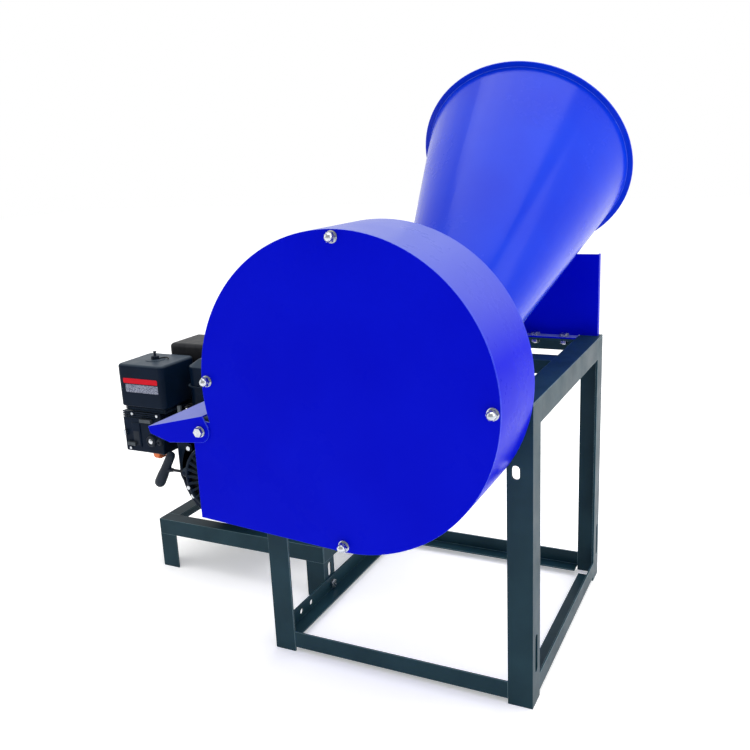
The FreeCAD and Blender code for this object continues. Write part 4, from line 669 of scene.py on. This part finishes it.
@dataclass
class Carburettor:
    """Carburettor behind its cover, with dial, levers, float bowl, throttle link and hoses."""

    left: float = -729.0
    right: float = -624.0
    front: float = 200.0
    back: float = 288.0
    floor: float = 248.0
    top: float = 340.0

    def build(self) -> None:
        """Build the cover, the bowl, the levers and the links."""
        bm = bmesh.new()
        add_block(bm, (self.left, self.front, self.floor), (self.right, self.back, self.top - 16), 4.0)
        for step in range(4):
            low = self.top - 18 + 4.6 * step
            add_block(bm, (self.left + 2, self.front - 1, low), (self.right - 1, self.back, low + 3), 1.0,
                      segments=2)
        add_block(bm, (self.left + 24, self.front - 2.2, self.floor + 12),
                  (self.left + 46, self.front + 1, self.top - 26), 1.5, segments=2)
        add_block(bm, (self.left + 27, self.front - 2.8, self.floor + 16),
                  (self.left + 43, self.front, self.top - 44), 1.0, segments=2, paint=1)
        add_block(bm, (-652, 286, 282), (-624, 314, 312), 3.0)
        for x, reach in ((-655.0, 12.0), (-633.0, 7.0)):
            add_turned(bm, [(0, 0), (reach, 0), (reach, 4), (reach - 2, 6), (reach - 4, 6), (reach - 5, 3.5),
                            (0, 3.5)], (x, self.front, 277), Axis.FRONT, 28, 1)
        settle(bm)
        finish_piece("carburettor_cover", bm, [ENGINE_BLACK, CASTING], STAND, ["carburettor"])
        bm = bmesh.new()
        add_turned(bm, [(0, 20), (14, 20), (14, 6), (12, 1.5), (8, 0), (0, 0)], (-664, 230, 230), Axis.Z, 32)
        add_hexagon(bm, 8, 3, (-664, 230, 227.4), Axis.Z)
        settle(bm)
        finish_piece("float_bowl", bm, [BRASS], STAND)
        self.trim()
        refine("fuel_tap_lever", [IRON], 1.0 * MM)
        refine("choke_lever", [IRON], 1.0 * MM)
        refine("throttle_lever", [IRON], 0.6 * MM)

    def trim(self) -> None:
        """Bright screws, the throttle rod with its spring, and the fuel hose."""
        bm = bmesh.new()
        add_turned(bm, [(0, 0), (5.5, 0), (5.5, 2), (3, 3.2), (0, 3.2)], (-655, self.front - 3.4, 277),
                   Axis.FRONT, 20)
        for x, z in ((-722, 292), (-714, 256), (-634, 334), (-700, 334)):
            add_turned(bm, [(0, 0), (3.2, 0), (3.0, 1.6), (0, 2.2)], (x, self.front - 1, z), Axis.FRONT, 14)
        add_block(bm, (-725, 193, 284), (-719, 199.6, 297), 1.0, segments=2)
        settle(bm)
        finish_piece("carburettor_screws", bm, [ZINC], STAND)
        bm = bmesh.new()
        add_wire(bm, [(-624, 240, 322), (-606, 236, 330), (-590, 232, 330), (-576, 228, 330)], [1.2], 8)
        turns = [(-622 + 0.28 * step, 248 + 3 * math.cos(step * 0.9), 326 + 3 * math.sin(step * 0.9))
                 for step in range(0, 120)]
        add_wire(bm, turns, [0.5], 6)
        settle(bm)
        finish_piece("throttle_link", bm, [ZINC], STAND)
        bm = bmesh.new()
        add_wire(bm, [(-640, 270, 262), (-622, 276, 256), (-606, 290, 262), (-596, 304, 290),
                      (-592, 310, 330), (-588, 312, 352)], [4.0], 12)
        settle(bm)
        finish_piece("fuel_hose", bm, [RUBBER], STAND)


@dataclass
class Starter:
    """Fan housing and recoil starter with its louvres, handle and rope guide."""

    x: float = -482.0
    z: float = 220.0
    housing_front: float = 200.0
    housing_back: float = 285.0
    housing_radius: float = 108.0
    shroud_left: float = -586.0
    shroud_right: float = -400.0
    shroud_top: float = 345.0
    cover_front: float = 172.0
    cover_radius: float = 75.0
    louvres: int = 26
    rope_y: float = 186.0
    rope_z: float = 224.0
    handle_x: float = -615.0
    handle_tilt: float = 30.0

    def build(self) -> None:
        """Build the housing, the cover and the handle."""
        self.housing()
        self.cover()
        self.handle()
        dress("recoil_rope", ROPE)
        refine("stop_switch", [PLASTIC], 1.2 * MM)

    def housing(self) -> None:
        """Pressed scroll round the flywheel, flowing into the air duct over the cylinder."""
        bm = bmesh.new()
        depth = self.housing_back - self.housing_front
        radius = self.housing_radius
        soft = [(radius - 9 + 9 * math.sin(turn), 9 - 9 * math.cos(turn))
                for turn in [math.radians(15 * step) for step in range(7)]]
        add_turned(bm, [(0, 0), *soft, (radius, depth - 3), (radius - 2, depth), (0, depth)],
                   (self.x, self.housing_front, self.z), Axis.Y, 72)
        duct = add_block(bm, (self.shroud_left - 6, self.housing_front, self.z - 34),
                         (self.shroud_right, self.housing_back, self.shroud_top), 27.0, "Y", 7)
        soften_rim(bm, duct, Vector((0, -1, 0)), 7.0)
        add_block(bm, (self.shroud_left + 18, self.housing_front - 1.5, self.shroud_top - 46),
                  (self.shroud_left + 60, self.housing_front + 2, self.shroud_top - 18), 1.5, segments=2)
        for turn in (35, 145, 215, 325):
            spot = (self.x + 92 * math.cos(math.radians(turn)), self.housing_front,
                    self.z + 92 * math.sin(math.radians(turn)))
            add_turned(bm, [(0, 0), (8, 0), (8, 1.2), (0, 1.2)], spot, Axis.FRONT, 20)
            add_hexagon(bm, 9, 5, spot, Axis.FRONT, 1)
        settle(bm)
        finish_piece("fan_shroud", bm, [ENGINE_BLACK, ZINC], STAND, ["fan_housing"])

    def cover(self) -> None:
        """Recoil cover: a ring and a hub joined by louvres over a dark hollow, with the rope's guide."""
        bm = bmesh.new()
        depth = self.housing_front - self.cover_front
        radius = self.cover_radius
        centre = (self.x, self.cover_front, self.z)
        add_turned(bm, [(radius - 9, 14), (radius - 9, 2.5), (radius - 7, 1.2), (radius - 3, 2.5),
                        (radius - 0.5, 8), (radius, 14), (radius, depth), (radius - 9, depth),
                        (radius - 9, 14)], centre, Axis.Y, 72)
        add_turned(bm, [(0, 0), (22, 0), (28, 1.5), (30, 4), (30, 10), (0, 10)], centre, Axis.Y)
        add_turned(bm, [(0, 13), (radius - 6, 13), (radius - 6, 16), (0, 16)], centre, Axis.Y, 48, 1)
        for step in range(self.louvres):
            rib = add_block(bm, (28, 1.6, -2.4), (radius - 5, 12, 2.4), 1.2, segments=2)
            turn = Matrix.Rotation(math.tau * step / self.louvres, 4, "Y")
            bmesh.ops.transform(bm, matrix=Matrix.Translation(centre) @ turn, verts=rib)
        for turn in (80, 200, 320):
            spot = (self.x + (radius - 5) * math.cos(math.radians(turn)), self.cover_front + 2,
                    self.z + (radius - 5) * math.sin(math.radians(turn)))
            add_turned(bm, [(0, 0), (4.5, 0), (4.2, 2), (0, 3)], spot, Axis.FRONT, 16, 2)
        add_turned(bm, [(0, 18), (10, 18), (10, 5), (9, 1), (7, 0), (4.2, 0), (4.2, 10), (0, 10)],
                   (self.x - radius - 8, self.rope_y, self.rope_z), Axis.X, 28)
        settle(bm)
        finish_piece("recoil_shell", bm, [ENGINE_BLACK, SOOT, ZINC], STAND, ["recoil_cover"])

    def handle(self) -> None:
        """Moulded pull: a round bar, thicker low down, with a snout for the rope."""
        bm = bmesh.new()
        grip = add_turned(bm, [(0, -46), (7, -45), (10.5, -41), (11.8, -34), (11.4, -18), (10.2, 0),
                               (9.6, 20), (9.4, 36), (8, 41), (5, 44), (0, 45)], (0, 0, 0), Axis.Z, 36)
        bmesh.ops.transform(bm, matrix=Matrix.Rotation(math.radians(self.handle_tilt), 4, "Y"), verts=grip)
        add_turned(bm, [(0, 4), (6.5, 4), (6.5, 9), (4.5, 17), (4.2, 20), (0, 20)], (0, 0, 0), Axis.X, 24)
        bmesh.ops.transform(bm, matrix=Matrix.Translation((self.handle_x, self.rope_y, self.rope_z)),
                            verts=bm.verts)
        settle(bm)
        finish_piece("starter_grip", bm, [PLASTIC], "starter_handle", ["recoil_handle"])


@dataclass
class FuelTank:
    """Stamped tank in two halves with a rolled seam, sloping shoulders and a ribbed cap."""

    left: float = -583.0
    right: float = -395.0
    front: float = 232.0
    back: float = 420.0
    floor: float = 345.0
    top: float = 449.0
    seam: float = 392.0
    shoulder: float = 14.0
    cap_x: float = -489.0
    cap_y: float = 326.0
    rib_radius: float = 26.8

    def build(self) -> None:
        """Build the tank and its cap."""
        bm = bmesh.new()
        body = add_block(bm, (self.left + 4, self.front + 4, self.floor),
                         (self.right - 4, self.back - 4, self.top - self.shoulder), 24.0, "Z", 6)
        faces = {face for vert in body for face in vert.link_faces}
        top = [face for face in faces if face.normal.z > 0.9]
        bmesh.ops.inset_region(bm, faces=top, thickness=22.0, depth=self.shoulder, use_even_offset=True)
        creases = [edge for edge in bm.edges if len(edge.link_faces) == 2 and edge.calc_face_angle(0.0) > 0.3
                   and axis_of(edge) != 2]
        bmesh.ops.bevel(bm, geom=creases, offset=3.5, offset_type="OFFSET", affect="EDGES", segments=3,
                        profile=0.5, material=-1, clamp_overlap=True)
        add_block(bm, (self.left, self.front, self.seam), (self.right, self.back, self.seam + 3), 26.0,
                  "Z", 6)
        for step in range(3):
            spot = self.left + 40 + 14 * step
            add_block(bm, (spot, self.front + 40, self.top - 2),
                      (spot + 6, self.back - 44, self.top + 0.8), 1.5, segments=2)
        add_turned(bm, [(0, -6), (31, -6), (31, -1), (29, 0.2), (0, 0.2)],
                   (self.cap_x, self.cap_y, self.top), Axis.Z)
        settle(bm)
        finish_piece("fuel_tank_shell", bm, [ENGINE_BLACK], STAND, ["fuel_tank"])
        bm = bmesh.new()
        add_turned(bm, [(0, 0.4), (26, 0.4), (27, 2), (27, 14), (25, 16.6), (17, 17.6), (0, 17.6)],
                   (self.cap_x, self.cap_y, self.top), Axis.Z)
        for step in range(30):
            turn = math.tau * step / 30
            x = self.cap_x + self.rib_radius * math.cos(turn)
            y = self.cap_y + self.rib_radius * math.sin(turn)
            add_wire(bm, [(x, y, self.top + 2), (x, y, self.top + 14)], [1.1], 6)
        settle(bm)
        finish_piece("fuel_cap_ribbed", bm, [PLASTIC], "tank_cap", ["fuel_cap"])


@dataclass
class Muffler:
    """Silencer box with a guard whose perforations are dark discs of painted shade, a tail pipe and its
    bracket.
    """

    left: float = -684.0
    right: float = -588.0
    front: float = 320.0
    back: float = 425.0
    floor: float = 376.0
    top: float = 462.0
    hole_rows: int = 5
    hole_columns: int = 6

    def build(self) -> None:
        """Build the box, dark discs painted as the shade of the guard's holes, and the pipes."""
        bm = bmesh.new()
        add_block(bm, (self.left, self.front, self.floor), (self.right, self.back, self.top), 9.0,
                  segments=4)
        add_block(bm, (self.left - 0.8, self.front - 0.8, self.floor + 38),
                  (self.right + 0.8, self.back + 0.8, self.floor + 42), 9.0, "Z", 4)
        # Dark flat discs stand in for the guard's holes: painted shade, not openings.
        hole_shade_disc = [(0, 0), (4, 0), (4, 0.6), (0, 0.6)]
        for row in range(self.hole_rows):
            for column in range(self.hole_columns):
                height = self.floor + 14 + row * 14
                place = self.front + 18 + column * 14
                add_turned(bm, hole_shade_disc, (self.left - 0.4, place, height), Axis.X, 14, 1)
                across = self.left + 14 + column * 13.5
                add_turned(bm, hole_shade_disc, (across, self.back - 0.2, height), Axis.Y, 14, 1)
        add_wire(bm, [(self.left + 30, self.back - 4, self.floor + 20),
                      (self.left + 26, self.back + 14, self.floor + 16)], [11.0], 20)
        add_block(bm, (-646, 343, 314), (-618, 371, self.floor + 2), 4.0)
        settle(bm)
        finish_piece("muffler_guard", bm, [SOOT, CASTING], STAND, ["muffler"])


@dataclass
class Engine:
    """Single-cylinder petrol engine."""

    case_back: float = 425.0
    x: float = -482.0
    z: float = 220.0

    def build(self) -> None:
        """Build the engine's pieces in order."""
        for part in (AirCleaner(), Carburettor(), Starter(), FuelTank(), Muffler()):
            part.build()
            log.info("%s built", type(part).__name__)
        for node in ("crankcase", "cylinder"):
            refine(node, [CASTING], 1.5 * MM)
        for node in ("spark_plug_cap", "oil_cap"):
            refine(node, [PLASTIC], 1.5 * MM)
        refine("engine_pulley", [IRON], 1.0 * MM)
        refine("crankshaft", [STEEL], 0.5 * MM)
        self.case_trim()

    def case_trim(self) -> None:
        """Side cover with its ring of bolts, the drain plug and the ignition lead."""
        bm = bmesh.new()
        add_turned(bm, [(31, 0), (58, 0), (58, 3), (56, 4.5), (33, 4.5), (31, 3), (31, 0)],
                   (self.x, self.case_back - 0.5, self.z), Axis.Y, 64)
        for step in range(6):
            turn = math.tau * (step + 0.5) / 6
            add_hexagon(bm, 10, 6, (self.x + 50 * math.cos(turn), self.case_back + 3.8,
                                    self.z + 50 * math.sin(turn)), Axis.Y, 1)
        add_hexagon(bm, 14, 8, (self.x + 40, self.case_back - 0.5, 136), Axis.Y, 1)
        settle(bm)
        finish_piece("crankcase_cover", bm, [CASTING, ZINC], STAND)
        bm = bmesh.new()
        add_wire(bm, [(-690, 357, 317), (-698, 345, 326), (-700, 325, 334), (-690, 308, 336),
                      (-660, 304, 334), (-620, 302, 330), (-592, 290, 326)], [3.4], 12)
        settle(bm)
        finish_piece("ignition_lead", bm, [RUBBER], STAND)


# ---------------------------------------------------------------- studio


@dataclass
class Studio:
    """Pale floor, soft lights and the camera."""

    camera_at: tuple[float, float, float] = (0.7653, -1.2989, 0.8448)
    heading: float = math.radians(26.53)
    dip: float = math.radians(14.58)
    roll: float = math.radians(-2.67)
    lens_mm: float = 40.81
    floor_size: float = 24.0
    floor_glow: float = 0.3

    def build(self) -> None:
        """Make the floor, the lights and the camera."""
        self.floor()
        self.lights()
        self.camera()

    def floor(self) -> None:
        """Lay a wide pale floor at the feet."""
        bm = bmesh.new()
        bmesh.ops.create_grid(bm, x_segments=1, y_segments=1, size=self.floor_size / 2)
        mesh = bpy.data.meshes.new("floor")
        bm.to_mesh(mesh)
        bm.free()
        pale = Finish("pale_studio_floor", "FAFAFA", "FCFCFC", 0.9, specular=0.0, patch_mm=900,
                      grain_depth_mm=0.0).build()
        glow = pale.node_tree.nodes["Principled BSDF"].inputs
        glow["Emission Color"].default_value = (1.0, 1.0, 1.0, 1.0)
        glow["Emission Strength"].default_value = self.floor_glow
        mesh.materials.append(pale)
        floor = bpy.data.objects.new("floor", mesh)
        bpy.context.scene.collection.objects.link(floor)

    def lights(self) -> None:
        """White surroundings, dimmer in front, with a large soft light above and one at each side."""
        world = bpy.data.worlds.new("studio")
        world.use_nodes = True
        sky = world.node_tree.nodes["Background"]
        sky.inputs["Color"].default_value = (1.0, 1.0, 1.0, 1.0)
        spot = add_node(world.node_tree, "ShaderNodeTexCoord")
        split = add_node(world.node_tree, "ShaderNodeSeparateXYZ",
                         links={"Vector": spot.outputs["Generated"]})
        span = add_node(world.node_tree, "ShaderNodeMapRange",
                        {"From Min": -0.7, "From Max": 0.2, "To Min": 0.55, "To Max": 1.0},
                        {"Value": split.outputs["Y"]})
        world.node_tree.links.new(span.outputs["Result"], sky.inputs["Strength"])
        bpy.context.scene.world = world
        for name, place, size, power in (("top_light", (0.3, 0.4, 3.2), 3.0, 60),
                                         ("right_light", (2.6, -0.2, 1.4), 2.0, 22),
                                         ("left_light", (-2.8, -1.2, 1.6), 2.0, 14)):
            lamp = bpy.data.lights.new(name, "AREA")
            lamp.size = size
            lamp.energy = power
            holder = bpy.data.objects.new(name, lamp)
            holder.location = place
            holder.rotation_mode = "QUATERNION"
            holder.rotation_quaternion = (Vector((-0.1, 0.1, 0.4)) - Vector(place)).to_track_quat("-Z", "Y")
            bpy.context.scene.collection.objects.link(holder)

    def camera(self) -> None:
        """Stand the camera where it sees the cover from the right, a little from above."""
        ahead = Vector((-math.sin(self.heading) * math.cos(self.dip),
                        math.cos(self.heading) * math.cos(self.dip), -math.sin(self.dip)))
        right = Vector((math.cos(self.heading), math.sin(self.heading), 0.0))
        above = right.cross(ahead)
        side = math.cos(self.roll) * right + math.sin(self.roll) * above
        top = -math.sin(self.roll) * right + math.cos(self.roll) * above
        lens = bpy.data.cameras.new("camera")
        lens.lens = self.lens_mm
        lens.sensor_width = 36.0
        holder = bpy.data.objects.new("camera", lens)
        turn = Matrix((side, top, -ahead)).transposed().to_4x4()
        holder.matrix_world = Matrix.Translation(self.camera_at) @ turn
        bpy.context.scene.collection.objects.link(holder)
        bpy.context.scene.camera = holder
        bpy.context.scene.view_settings.view_transform = "Standard"


def main() -> None:
    """Build the stand, the mill, the engine and the studio."""
    for part in (Stand(), Mill(), Engine(), Studio()):
        part.build()
        log.info("%s built", type(part).__name__)


if __name__ == "__main__":
    main()
